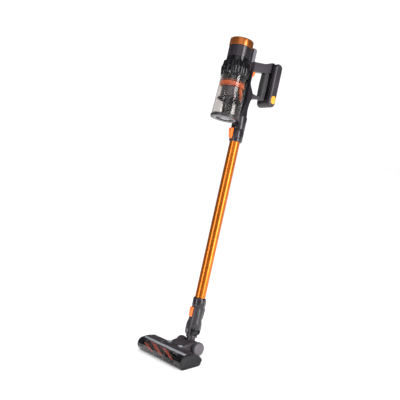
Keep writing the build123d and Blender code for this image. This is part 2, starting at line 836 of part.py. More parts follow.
with BuildPart() as fine_filter:
    with BuildSketch(across(BAND_LOW + 1, BARREL_AXIS)):
        Circle(BAND_R - 3.2)
        Circle(16, mode=Mode.SUBTRACT)
    extrude(amount=BAND_HIGH - 4.2 - BAND_LOW - 1)
finish(fine_filter, "fine_filter")

# ================================================================ spine and handle
BARREL_CLEAR = [
    (0, 749.6), (0, 1000), (HOUSING_R + 0.2, 1000), (HOUSING_R + 0.2, 972), (52.6, 945), (52.6, 905),
    (49.6, 905), (51.4, 770), (51.4, 757), (44, 749.6),
]
with BuildPart() as spine:
    with BuildSketch(SIDE):
        with BuildLine():
            low = (14, COLLAR_HIGH)
            Line((-38, 840), (-34, CYCLONE_HIGH - 3))
            Line((-34, CYCLONE_HIGH - 3), (-1, CYCLONE_HIGH + 13))
            Line((-1, CYCLONE_HIGH + 13), (-1, 915))
            Spline(
                (-1, 915), (4, 900), (15, 884), (18, 868), (14, 845), (12, 812), low,
                tangents=((0, -1), (0, -1)),
            )
            Line(low, (-38, COLLAR_HIGH))
            Line((-38, COLLAR_HIGH), (-38, 840))
        make_face()
    extrude(amount=16, both=True)
    with BuildSketch(across(COLLAR_LOW)):
        Circle(24)
    extrude(amount=COLLAR_HIGH - COLLAR_LOW)
    add(revolved(BARREL_CLEAR, BARREL_AXIS), mode=Mode.SUBTRACT)
    # ears of the lid hinge, and the room between them for its knuckle
    with BuildSketch(SIDE):
        with BuildLine():
            Polyline(
                (HINGE_REAR, HINGE_S + EAR_R), (HINGE_REAR + 6, HINGE_S + EAR_R),
                (HINGE_REAR + 6, HINGE_S - 10), (HINGE_REAR + 1, HINGE_S - 10),
                (HINGE_REAR - EAR_R, HINGE_S), close=True,
            )
        make_face()
        with Locations((HINGE_REAR, HINGE_S)):
            Circle(EAR_R)
    extrude(amount=KNUCKLE_W / 2 + 5, both=True)
    with BuildSketch(SIDE):
        with Locations((HINGE_REAR - 2, HINGE_S + 1)):
            Rectangle(10.4, 9)
    extrude(amount=KNUCKLE_W / 2 + 0.3, both=True, mode=Mode.SUBTRACT)
    with BuildSketch(SIDE):
        with Locations((HINGE_REAR, HINGE_S)):
            Circle(HINGE_R)
    extrude(amount=KNUCKLE_W / 2 + 5, both=True, mode=Mode.SUBTRACT)
    # spigot that plugs into the wand, and the air way up to the cyclones
    with BuildSketch(across(WAND_HIGH + 17)):
        Circle(SPIGOT_R)
    extrude(amount=COLLAR_LOW - WAND_HIGH - 17)
    with BuildSketch(across(WAND_HIGH)):
        Circle(14.5)
    extrude(amount=COLLAR_LOW + 3 - WAND_HIGH, mode=Mode.SUBTRACT)
    with BuildSketch(across(WAND_HIGH, -0.5)):
        Circle(9.2)
    extrude(amount=134, mode=Mode.SUBTRACT)
finish(spine, "spine")

with BuildPart() as upright_block:
    with BuildSketch(SIDE):
        with BuildLine():
            Polyline(
                (-36, CYCLONE_HIGH - 2), (-36, 1027), (-24, 1031), (-14, 1031), (-2, 1026), (-1, 988),
                close=True,
            )
        make_face()
    extrude(amount=12, both=True)
    add(
        revolved(
            [
                (0, 940), (0, 1060), (BAND_R + 0.6, 1060), (BAND_R + 0.6, BAND_LOW - 1),
                (HOUSING_R, BAND_LOW - 1), (HOUSING_R, 940),
            ],
            BARREL_AXIS,
        ),
        mode=Mode.SUBTRACT,
    )
    add(spine.part, mode=Mode.SUBTRACT)
    with BuildSketch(facing_rear(1008, -5.4)):
        Circle(5.3)
    extrude(amount=8, mode=Mode.SUBTRACT)
finish(upright_block, "upright_block")

with BuildPart() as mode_button:
    with BuildSketch(facing_rear(1008, -3.4)):
        Circle(5)
    extrude(amount=3.4)
finish(mode_button, "mode_button")

TRIGGER_PIN = (12.0, 964.0)
with BuildPart() as handle_top_bar:
    with BuildSketch(SIDE):
        with BuildLine():
            Polyline(
                (-0.9, 953), (-0.9, 987), (56, 1000), (RAIL_R - 5, 1010), (RAIL_R - 0.1, 1011.5),
                (RAIL_R - 0.1, 976), (60, 969), close=True,
            )
        make_face()
    extrude(amount=BAR_W / 2, both=True)
    # pocket of the trigger
    with BuildSketch(SIDE):
        with Locations((12, 957)):
            Rectangle(20, 24)
    extrude(amount=6.4, both=True, mode=Mode.SUBTRACT)
    with BuildSketch(SIDE):
        with Locations(TRIGGER_PIN):
            Circle(1.5)
    extrude(amount=7, both=True)
finish(handle_top_bar, "handle_top_bar")

with BuildPart() as trigger:
    with BuildSketch(SIDE):
        with BuildLine():
            Polyline((5, 967), (5, 945), (6.5, 938.5), (13, 938), (17.5, 945), (17.5, 967), close=True)
        make_face()
    extrude(amount=5.8, both=True)
    fillet(trigger.edges().filter_by(Axis.X), 1.5)
    with BuildSketch(SIDE):
        with Locations(TRIGGER_PIN):
            Circle(1.5 + RUN)
    extrude(amount=10, both=True, mode=Mode.SUBTRACT)
finish(trigger, "trigger")

with BuildPart() as handle_bottom_bar:
    with BuildSketch(SIDE):
        with BuildLine():
            Spline(
                (11, 889), (20, 883.5), (34, 880.5), (50, 882), tangents=((0.8, -0.6), (1, 0.12))
            )
            Polyline((50, 882), (RAIL_R - 0.1, 888), (RAIL_R - 0.1, 878.5), (56, 871), (44, 868.5))
            Spline((44, 868.5), (30, 864), (20, 855), (11, 842), tangents=((-1, -0.2), (-0.5, -0.9)))
            Line((11, 842), (11, 889))
        make_face()
    extrude(amount=9, both=True)
    add(spine.part, mode=Mode.SUBTRACT)
finish(handle_bottom_bar, "handle_bottom_bar")

with BuildPart() as grip:
    with BuildSketch(across(860, GRIP_R)):
        Ellipse(13.4, 14.6)
    extrude(amount=130)
    add(handle_top_bar.part, mode=Mode.SUBTRACT)
    with BuildSketch(SIDE):
        with BuildLine():
            Polyline(
                (40, 880), (RAIL_R - 0.05, 888), (RAIL_R - 0.05, 974.8), (60, 967.8), (40, 962), close=True,
            )
        make_face()
    extrude(amount=30, both=True, mode=Mode.INTERSECT)
    add(handle_bottom_bar.part, mode=Mode.SUBTRACT)
finish(grip, "grip")

with BuildPart() as battery_rail:
    with BuildSketch(facing_rear(948, RAIL_R)):
        RectangleRounded(50, 130, 12)
    extrude(amount=PACK_R - 0.4 - RAIL_R)
finish(battery_rail, "battery_rail")

PACK_MID = (PACK_LOW + PACK_HIGH) / 2
with BuildPart() as battery_shell:
    with BuildSketch(SIDE):
        with Locations((PACK_R + PACK_D / 2, PACK_MID)):
            SlotOverall(PACK_HIGH - PACK_LOW, PACK_D, rotation=90)
    extrude(amount=PACK_W / 2, both=True)
    fillet(battery_shell.edges().filter_by_position(Axis.X, PACK_W / 2 - 0.1, PACK_W / 2 + 0.1), 3)
    fillet(battery_shell.edges().filter_by_position(Axis.X, -PACK_W / 2 - 0.1, -PACK_W / 2 + 0.1), 3)
    offset(amount=-2.2, kind=Kind.INTERSECTION, mode=Mode.SUBTRACT)
    for side in (-1, 1):
        with BuildSketch(SIDE.offset(side * (PACK_W / 2 + 1))):
            with Locations((PACK_R + 17, 883)):
                SlotOverall(29, 20, rotation=90)
        extrude(amount=-side * 5, mode=Mode.SUBTRACT)
    socket = across(PACK_LOW, PACK_R + PACK_D / 2)
    with BuildSketch(socket.offset(1.2)):
        Circle(5.5)
    extrude(amount=12)
    with BuildSketch(socket.offset(-2)):
        Circle(SOCKET_BORE_R)
    extrude(amount=12, mode=Mode.SUBTRACT)
finish(battery_shell, "battery_shell")

with BuildPart() as battery_cells:
    for row in range(6):
        with BuildSketch(SIDE.offset(-30)):
            with Locations((PACK_R + PACK_D / 2, 893 + row * 20)):
                Circle(9.2)
        extrude(amount=60)
finish(battery_cells, "battery_cells")

for side, label in ((-1, "left"), (1, "right")):
    with BuildPart() as battery_button:
        with BuildSketch(SIDE.offset(side * (PACK_W / 2 - 1.2))):
            with Locations((PACK_R + 17, 883)):
                SlotOverall(28.2, 19.2, rotation=90)
        extrude(amount=side * 2.8)
    finish(battery_button, f"battery_button_{label}")
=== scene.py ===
import json
import math

import bpy
from mathutils import Matrix, Vector

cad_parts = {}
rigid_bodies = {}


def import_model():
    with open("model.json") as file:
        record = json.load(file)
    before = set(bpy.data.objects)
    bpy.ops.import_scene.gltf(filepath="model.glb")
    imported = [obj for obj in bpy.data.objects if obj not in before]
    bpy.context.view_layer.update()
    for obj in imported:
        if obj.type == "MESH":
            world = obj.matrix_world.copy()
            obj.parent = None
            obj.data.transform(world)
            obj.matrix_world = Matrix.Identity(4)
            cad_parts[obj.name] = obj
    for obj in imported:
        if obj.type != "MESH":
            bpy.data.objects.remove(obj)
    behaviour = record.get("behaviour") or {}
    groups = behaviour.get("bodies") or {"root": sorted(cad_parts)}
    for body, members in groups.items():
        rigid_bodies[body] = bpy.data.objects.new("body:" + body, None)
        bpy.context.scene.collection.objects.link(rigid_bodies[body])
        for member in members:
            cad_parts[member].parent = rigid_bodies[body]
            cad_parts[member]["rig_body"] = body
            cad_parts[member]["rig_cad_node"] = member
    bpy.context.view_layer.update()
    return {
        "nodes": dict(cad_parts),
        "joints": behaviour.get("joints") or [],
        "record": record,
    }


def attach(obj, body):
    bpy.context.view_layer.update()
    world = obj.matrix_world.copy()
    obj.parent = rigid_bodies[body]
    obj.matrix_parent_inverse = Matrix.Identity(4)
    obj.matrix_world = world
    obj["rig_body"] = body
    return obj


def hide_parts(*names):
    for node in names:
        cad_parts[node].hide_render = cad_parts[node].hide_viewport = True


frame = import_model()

# Lengths are in millimetres until a point is placed, and metres after that.
MM = 0.001
X = Vector((1, 0, 0))
BACK = Vector((0, 1, 0))
UP = Vector((0, 0, 1))

# ---------------------------------------------------------------- the frame's own directions
JOINTS = {joint["name"]: joint for joint in frame["joints"]}
AXLE = Vector(JOINTS["wheel_left_spin"]["pos_m"])
ALONG = Vector(JOINTS["wand_pull"]["axis"])  # up the wand
REAR = Vector(JOINTS["neck_tilt"]["axis"])  # rearward, square to the wand
# A view to draw on: its origin, its two directions, and the direction that faces out of it.
STICK = (AXLE, REAR, ALONG, X)
FACE = (AXLE, X, ALONG, REAR)
HEAD = (Vector((0, AXLE.y, 0)), BACK, UP, X)


def place(view, across, along, out=0.0):
    """Point in metres from two distances on a view and one out of it."""
    origin, first, second, third = view
    return origin + (first * across + second * along + third * out) * MM


def reach(node, direction, origin=AXLE):
    """Lowest and highest distance of a CAD node along a direction from the wheel axle."""
    heights = [(v.co - origin).dot(direction) / MM for v in frame["nodes"][node].data.vertices]
    return min(heights), max(heights)


def middle(node, direction, origin=AXLE):
    low, high = reach(node, direction, origin)
    return (low + high) / 2


# ---------------------------------------------------------------- modelling
def rounded(corners, radius, step=15):
    """Outline with an arc at each corner. A corner's own radius is its third value."""
    outline = []
    for index, corner in enumerate(corners):
        here = Vector(corner[:2])
        size = corner[2] if len(corner) > 2 else radius
        before = Vector(corners[index - 1][:2]) - here
        after = Vector(corners[(index + 1) % len(corners)][:2]) - here
        half = before.angle(after) / 2
        room = 0.49 * min(before.length, after.length) * math.tan(half)
        size = min(size, room)
        if size < 0.05:
            outline.append(tuple(here))
            continue
        bisector = (before.normalized() + after.normalized()).normalized()
        centre = here + bisector * size / math.sin(half)
        start = here + before.normalized() * size / math.tan(half) - centre
        sweep = -math.copysign(math.pi - 2 * half, before.cross(after))
        count = max(2, round(abs(math.degrees(sweep)) / step) + 1)
        for turn in range(count):
            angle = sweep * turn / (count - 1)
            spun = Vector((
                start.x * math.cos(angle) - start.y * math.sin(angle),
                start.x * math.sin(angle) + start.y * math.cos(angle),
            ))
            outline.append(tuple(centre + spun))
    return outline


def edit(action="SELECT"):
    bpy.ops.object.mode_set(mode="EDIT")
    bpy.ops.mesh.select_all(action=action)


def clear_selection():
    bpy.ops.object.select_all(action="DESELECT")


def tidy(name):
    """Applies the place of the piece in hand, merges its doubles and turns its faces outward."""
    edit()
    bpy.ops.mesh.remove_doubles(threshold=0.00002)
    bpy.ops.mesh.normals_make_consistent(inside=False)
    bpy.ops.object.mode_set(mode="OBJECT")
    bpy.ops.object.transform_apply(location=True, rotation=True, scale=True)
    piece = bpy.context.object
    piece.name = name
    piece.data.name = name
    return piece


def lathe(name, profile, centre, axis, segments=64, tube=False):
    """Turned piece from (radius, height) corners, its rings extruded one from the next."""
    clear_selection()
    radius, height = profile[0]
    bpy.ops.mesh.primitive_circle_add(
        vertices=segments, radius=radius * MM, location=centre + axis * height * MM,
        rotation=axis.to_track_quat("Z", "Y").to_euler(),
    )
    edit()
    for wide, high in profile[1:]:
        bpy.ops.mesh.extrude_region_move(
            TRANSFORM_OT_translate={"value": axis * (high - height) * MM}
        )
        grow = wide / radius
        bpy.ops.transform.resize(value=(grow, grow, grow), center_override=centre + axis * high * MM)
        radius, height = wide, high
    bpy.ops.mesh.select_all(action="DESELECT")
    bpy.ops.mesh.select_non_manifold()
    if tube:
        bpy.ops.mesh.bridge_edge_loops()
    else:
        bpy.ops.mesh.select_all(action="SELECT")
        bpy.ops.mesh.fill_holes(sides=0)
    return tidy(name)


def slab(name, outline, width, view=STICK, out=0.0):
    """Plate drawn on a view as a run of edges, filled and extruded to its width."""
    clear_selection()
    start = place(view, outline[0][0], outline[0][1], out - width / 2)
    bpy.ops.mesh.primitive_plane_add(size=MM, location=start)
    edit()
    bpy.ops.mesh.merge(type="CENTER")
    for before, after in zip(outline, outline[1:]):
        step = place(view, *after) - place(view, *before)
        bpy.ops.mesh.extrude_region_move(TRANSFORM_OT_translate={"value": step})
    bpy.ops.mesh.select_all(action="SELECT")
    bpy.ops.mesh.edge_face_add()
    bpy.ops.mesh.extrude_region_move(TRANSFORM_OT_translate={"value": view[3] * width * MM})
    return tidy(name)


STICK_TILT = (-math.asin(ALONG.y), 0, 0)


def block(name, size, centre, turn=(0, 0, 0)):
    """Box of a given size about a point, turned by Euler angles."""
    clear_selection()
    bpy.ops.mesh.primitive_cube_add(size=1, location=centre, rotation=turn, scale=Vector(size) * MM)
    return tidy(name)


def modify(piece, kind, **values):
    """Adds a modifier with its settings and applies it."""
    clear_selection()
    bpy.context.view_layer.objects.active = piece
    piece.select_set(True)
    modifier = piece.modifiers.new(kind.lower(), kind)
    for key, value in values.items():
        setattr(modifier, key, value)
    bpy.ops.object.modifier_apply(modifier=modifier.name)
    return piece


def bevel(piece, width, segments=3, angle=35):
    return modify(
        piece, "BEVEL", width=width * MM, segments=segments, limit_method="ANGLE",
        angle_limit=math.radians(angle), use_clamp_overlap=True, harden_normals=False,
    )


def carve(piece, *cutters, operation="DIFFERENCE"):
    """Cuts pieces away, or adds them with operation UNION."""
    for cutter in cutters:
        modify(piece, "BOOLEAN", object=cutter, operation=operation, solver="EXACT")
        bpy.data.objects.remove(cutter)
    return piece


def copies(piece, turns):
    """The piece joined with a copy of itself at each transform in the list."""
    group = [piece]
    for index, turn in enumerate(turns):
        twin = piece.copy()
        twin.data = piece.data.copy()
        twin.name = f"{piece.name}_{index}"
        bpy.context.collection.objects.link(twin)
        twin.data.transform(turn)
        group.append(twin)
    clear_selection()
    for one in group:
        one.select_set(True)
    bpy.context.view_layer.objects.active = piece
    bpy.ops.object.join()
    return piece


def about(centre, axis, degrees):
    """Turn about an axis through a point."""
    return (
        Matrix.Translation(centre) @ Matrix.Rotation(math.radians(degrees), 4, axis)
        @ Matrix.Translation(-centre)
    )


def cad_copy(node, name):
    """Copy of a CAD node with its triangles merged into faces."""
    clear_selection()
    piece = frame["nodes"][node].copy()
    piece.data = piece.data.copy()
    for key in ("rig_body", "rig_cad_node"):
        del piece[key]
    piece.parent = None
    bpy.context.collection.objects.link(piece)
    bpy.context.view_layer.objects.active = piece
    piece.select_set(True)
    edit()
    bpy.ops.mesh.remove_doubles(threshold=0.000004)
    bpy.ops.mesh.dissolve_limited(angle_limit=math.radians(0.6))
    bpy.ops.object.mode_set(mode="OBJECT")
    piece.name = name
    piece.data.name = name
    return piece


def done(piece, body, material, slot, *replaced, smooth=35):
    """Finishes a piece: shading, material, the body it rides on and what it stands for."""
    clear_selection()
    bpy.context.view_layer.objects.active = piece
    piece.select_set(True)
    bpy.ops.object.shade_smooth_by_angle(angle=math.radians(smooth))
    piece.data.materials.clear()
    piece.data.materials.append(material)
    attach(piece, body)
    if replaced:
        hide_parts(*replaced)
    return piece


# ---------------------------------------------------------------- materials
def colour(hexadecimal):
    """Linear colour from an sRGB hex value."""
    channels = [int(hexadecimal[i:i + 2], 16) / 255 for i in (1, 3, 5)]
    linear = [c / 12.92 if c <= 0.04045 else ((c + 0.055) / 1.055) ** 2.4 for c in channels]
    return (*linear, 1.0)


def add_node(material, kind, links=None, stops=(), **values):
    """Adds a shader node with its inputs or settings by name, its colour stops and its links."""
    node = material.node_tree.nodes.new(kind)
    for key, value in values.items():
        socket = node.inputs.get(key.replace("_", " "))
        if socket is None:
            setattr(node, key, value)
        else:
            socket.default_value = value
    for element, (position, shade) in zip(node.color_ramp.elements if stops else (), stops):
        element.position = position
        element.color = colour(shade)
    for key, output in (links or {}).items():
        material.node_tree.links.new(output, node.inputs[key])
    return node


def new_finish(name):
    """Empty material, and the object coordinates that its patterns are drawn on."""
    material = bpy.data.materials.new(name)
    material.use_nodes = True
    material.node_tree.nodes.clear()
    return material, add_node(material, "ShaderNodeTexCoord").outputs["Object"]


def coat_with(material, shade=None, gloss=None, relief=None, **sockets):
    """Surface of the material: what varies over it, and the shader's own sockets for the rest.

    Each of the three starts with the output that it follows. After that, shade has two colour
    stops, gloss has the lowest and highest roughness, and relief has its depth in millimetres.
    """
    links = {}
    if shade:
        ramp = add_node(material, "ShaderNodeValToRGB", {"Fac": shade[0]}, stops=shade[1:])
        links["Base Color"] = ramp.outputs["Color"]
    if gloss:
        follow, low, high = gloss
        spread = add_node(material, "ShaderNodeMapRange", {"Value": follow}, To_Min=low, To_Max=high)
        links["Roughness"] = spread.outputs["Result"]
    if relief:
        follow, depth = relief
        bump = add_node(material, "ShaderNodeBump", {"Height": follow}, Distance=depth * MM)
        links["Normal"] = bump.outputs["Normal"]
    shader = add_node(material, "ShaderNodeBsdfPrincipled", links, **sockets)
    add_node(material, "ShaderNodeOutputMaterial", {"Surface": shader.outputs["BSDF"]})
    return material


def moulded_abs(name, dark, light, rough, grit=0.8, depth=0.01, coat=0.0):
    """Injection-moulded ABS: spark-eroded grit in its skin scatters the highlight softly."""
    material, spot = new_finish(name)
    fine = add_node(material, "ShaderNodeTexNoise", {"Vector": spot}, Scale=1 / (grit * MM), Detail=3)
    cloud = add_node(material, "ShaderNodeTexNoise", {"Vector": spot}, Scale=1 / (38 * MM), Detail=2)
    return coat_with(
        material, (cloud.outputs["Fac"], (0.3, dark), (0.7, light)),
        (fine.outputs["Fac"], rough - 0.06, rough + 0.08), (fine.outputs["Fac"], depth),
        Coat_Weight=coat, Coat_Roughness=0.12, Specular_IOR_Level=0.4,
    )


def metallic_paint(name, dark, light, rough, flake=0.45):
    """Metallic paint under clear coat: flakes a few tenths of a millimetre wide glint in it."""
    material, spot = new_finish(name)
    flakes = add_node(material, "ShaderNodeTexVoronoi", {"Vector": spot}, Scale=1 / (flake * MM))
    cloud = add_node(material, "ShaderNodeTexNoise", {"Vector": spot}, Scale=1 / (30 * MM), Detail=2)
    return coat_with(
        material, (flakes.outputs["Color"], (0.1, dark), (0.9, light)),
        (cloud.outputs["Fac"], rough - 0.04, rough + 0.06),
        Metallic=0.25, Coat_Weight=0.35, Coat_Roughness=0.14, Specular_IOR_Level=0.4,
    )


def polished_abs(name, dark, light, rough=0.12):
    """Polished ABS: a mirror-like skin with the faint ripple that moulding leaves."""
    material, spot = new_finish(name)
    ripple = add_node(material, "ShaderNodeTexNoise", {"Vector": spot}, Scale=1 / (14 * MM), Detail=1)
    smear = add_node(material, "ShaderNodeTexNoise", {"Vector": spot}, Scale=1 / (5 * MM), Detail=4)
    return coat_with(
        material, (ripple.outputs["Fac"], (0.3, dark), (0.7, light)),
        (smear.outputs["Fac"], rough - 0.03, rough + 0.08), (ripple.outputs["Fac"], 0.05),
        Coat_Weight=0.2, Coat_Roughness=0.04, Specular_IOR_Level=0.3,
    )


def anodised_aluminium(name, dark, light, rough, line, turn=(0, 0, 0)):
    """Drawn aluminium, anodised: fine lines along the draw widen the highlight across it."""
    material, spot = new_finish(name)
    drawn = add_node(material, "ShaderNodeMapping", {"Vector": spot}, vector_type="TEXTURE",
                     Rotation=turn, Scale=line)
    lines = add_node(material, "ShaderNodeTexNoise", {"Vector": drawn.outputs["Vector"]},
                     Scale=1 / (0.5 * MM), Detail=3)
    cloud = add_node(material, "ShaderNodeTexNoise", {"Vector": spot}, Scale=1 / (60 * MM), Detail=2)
    return coat_with(
        material, (cloud.outputs["Fac"], (0.3, dark), (0.7, light)),
        (lines.outputs["Fac"], rough - 0.05, rough + 0.05), (lines.outputs["Fac"], 0.003),
        Metallic=0.85, Coat_Weight=0.1, Coat_Roughness=0.2,
    )


def polycarbonate(name, smoke, rough=0.0):
    """Clear polycarbonate with a light smoke tint: edges and overlaps read darker."""
    material, spot = new_finish(name)
    dust = add_node(material, "ShaderNodeTexNoise", {"Vector": spot}, Scale=1 / (3 * MM), Detail=5)
    return coat_with(
        material, gloss=(dust.outputs["Fac"], rough, rough + 0.07), Base_Color=colour(smoke),
        IOR=1.35, Transmission_Weight=1.0,
    )


def rubber(name, dark, light, rough, grit=0.7, depth=0.05):
    """Moulded rubber: matt, with a faint sheen where light grazes it."""
    material, spot = new_finish(name)
    fine = add_node(material, "ShaderNodeTexNoise", {"Vector": spot}, Scale=1 / (grit * MM), Detail=4)
    cloud = add_node(material, "ShaderNodeTexNoise", {"Vector": spot}, Scale=1 / (22 * MM), Detail=2)
    return coat_with(
        material, (cloud.outputs["Fac"], (0.3, dark), (0.7, light)),
        (fine.outputs["Fac"], rough - 0.08, min(1.0, rough + 0.1)), (fine.outputs["Fac"], depth),
        Sheen_Weight=0.25, Sheen_Roughness=0.5,
    )


def turned_steel(name, dark, light, rough, line=(1, 8, 8)):
    """Turned or drawn steel: tool marks a few tenths of a millimetre apart."""
    material, spot = new_finish(name)
    drawn = add_node(material, "ShaderNodeMapping", {"Vector": spot}, vector_type="TEXTURE", Scale=line)
    marks = add_node(material, "ShaderNodeTexNoise", {"Vector": drawn.outputs["Vector"]},
                     Scale=1 / (0.4 * MM), Detail=2)
    return coat_with(
        material, (marks.outputs["Fac"], (0.3, dark), (0.7, light)),
        (marks.outputs["Fac"], rough - 0.07, rough + 0.1), (marks.outputs["Fac"], 0.02), Metallic=1.0,
    )


def fibre(name, dark, light, length=(1, 6, 6)):
    """Cut nylon fibre: strands drawn a millimetre thick, with painted shade darkening them between and their
    tips lighter.
    """
    material, spot = new_finish(name)
    laid = add_node(material, "ShaderNodeMapping", {"Vector": spot}, vector_type="TEXTURE", Scale=length)
    strands = add_node(material, "ShaderNodeTexNoise", {"Vector": laid.outputs["Vector"]},
                       Scale=1 / (1.1 * MM), Detail=3)
    return coat_with(
        material, (strands.outputs["Fac"], (0.3, dark), (0.7, light)),
        relief=(strands.outputs["Fac"], 0.7), Roughness=0.75, Sheen_Weight=0.4, Sheen_Roughness=0.4,
    )


def etched_steel(name, dark, light):
    """Etched steel screen: rows of fine holes, drawn a little coarser so that they show."""
    material, spot = new_finish(name)
    holes = add_node(material, "ShaderNodeTexVoronoi", {"Vector": spot}, Scale=1 / (1.6 * MM),
                     Randomness=0.15)
    return coat_with(
        material, (holes.outputs["Distance"], (0.3, dark), (0.5, light)),
        relief=(holes.outputs["Distance"], 0.25), Metallic=0.7, Roughness=0.42,
    )


def pleated_paper(name, dark, light):
    """Pleated filter paper: folds two millimetres apart with a fibrous face; its colour darkens into each
    fold's valley as painted shade.
    """
    material, spot = new_finish(name)
    folds = add_node(material, "ShaderNodeTexWave", {"Vector": spot}, Scale=0.1 / (2 * MM), Distortion=1.0)
    return coat_with(
        material, (folds.outputs["Fac"], (0.1, dark), (0.9, light)),
        relief=(folds.outputs["Fac"], 0.6), Roughness=0.9,
    )


ORANGE_TUBE = anodised_aluminium(
    "anodised aluminium, orange", "#C4641A", "#D06E1E", 0.24, (1, 1, 60), (-math.asin(ALONG.y), 0, 0)
)
ORANGE_BAND = anodised_aluminium(
    "anodised aluminium, copper orange", "#B0622E", "#C26E36", 0.24, (6, 6, 1)
)
HOUSING = metallic_paint("metallic paint, dark grey", "#1F1A20", "#282329", 0.28)
HANDLE = metallic_paint("metallic paint, mid grey", "#39333A", "#454047", 0.36)
LIGHT_PAINT = metallic_paint("metallic paint, light grey", "#66636A", "#77747B", 0.32)
SILVER = metallic_paint("silver paint, satin", "#7E8186", "#96999E", 0.24)
CASE = moulded_abs("moulded ABS, charcoal", "#242025", "#2E2A2F", 0.36, coat=0.15)
COVER = moulded_abs("moulded ABS, dark grey", "#2A262B", "#363137", 0.38)
BATTERY = moulded_abs("moulded ABS, battery case", "#262127", "#302B31", 0.34, coat=0.2)
HUB = moulded_abs("moulded ABS, hub grey", "#555156", "#656166", 0.45)
LID_GREY = moulded_abs("moulded ABS, light grey", "#77767A", "#8F8E93", 0.4)
CORE = moulded_abs("moulded polypropylene, grey", "#2E2C30", "#3A383C", 0.5)
WHITE = moulded_abs("moulded PBT, white", "#C2C0BB", "#D2D0CB", 0.45)
BLACK = polished_abs("polished ABS, black", "#070609", "#0E0C11")
ORANGE_ABS = moulded_abs("moulded ABS, orange", "#E8611E", "#FA7A26", 0.38, coat=0.3)
ORANGE_SOFT = moulded_abs("moulded ABS, light orange", "#FB9325", "#FFA334", 0.4, coat=0.3)
SEAL = moulded_abs("moulded TPE, orange", "#D9602A", "#EC7434", 0.45)
CLEAR = polycarbonate("clear polycarbonate, smoked", "#E2DEDC")
WINDOW = polycarbonate("clear polycarbonate, window", "#CBC3C5")
SOFT_BLACK = rubber("soft-touch rubber, black", "#151216", "#1F1B20", 0.55)
# Black rubber made darker still: painted shade that stands for the dark opening of the elbow around the
# bellows.
HOSE = rubber("moulded rubber, bellows", "#040405", "#080709", 0.6)
TYRE = rubber("rubber tread, dark", "#242126", "#322E33", 0.75, 1.0, 0.1)
STEEL = turned_steel("turned steel", "#8A898B", "#B4B3B5", 0.3)
SCREEN = etched_steel("etched steel screen", "#1F1C20", "#5A5459")
# Bristle and pile colours run from painted shade between the strands to the colour of their tips.
NYLON = fibre("nylon bristle, black", "#18161B", "#34303A")
PILE = fibre("nylon pile, red-orange", "#B8432A", "#F57E58")
# The paper's two colours run from painted shade in the fold valleys to its own colour on the crests.
PAPER = pleated_paper("pleated filter paper", "#A9A7A1", "#DAD8D2")
PAPER_FLOOR = moulded_abs("seamless paper, white", "#F4F4F4", "#FAFAFA", 0.9, 4.0, 0.0)
SLEEVE = polished_abs("shrink film, blue", "#1E4668", "#2B5E89", 0.25)

BY_SLOT = {
    "dark_plastic": COVER, "gloss_black": BLACK, "dark_metallic": HOUSING, "clear_smoke": CLEAR,
    "tube_orange": ORANGE_TUBE, "bright_trim": SILVER, "cap_silver": LIGHT_PAINT,
    "band_orange": ORANGE_BAND, "orange_plastic": ORANGE_ABS, "seal_orange": SEAL,
    "mesh_steel": SCREEN, "lid_grey": LID_GREY, "black_rubber": HOSE, "tread_rubber": TYRE,
    "hub_grey": HUB, "bristle_nylon": NYLON, "pile_red": PILE, "core_grey": CORE,
    "grip_rubber": SOFT_BLACK, "battery_plastic": BATTERY, "cell_sleeve": SLEEVE, "steel": STEEL,
    "filter_paper": PAPER, "white_plastic": WHITE,
}
for row in frame["record"]["subparts"]:
    materials = frame["nodes"][row["node"]].data.materials
    materials.clear()
    materials.append(BY_SLOT[row["material_slot"]])

# ---------------------------------------------------------------- camera, floor and light
CAMERA_TURN = (math.radians(84.25), 0, math.radians(52.15))
CAMERA_FROM_AXLE = Vector((1.5558, -1.1643, 0.6821))  # metres
LENS = 54
FLOOR_RADIUS = 14  # metres
AIM = Vector((0, 0, 0.6))  # the soft boxes face this point
ROOM_LIGHT = 0.14  # strength of the room in reflections


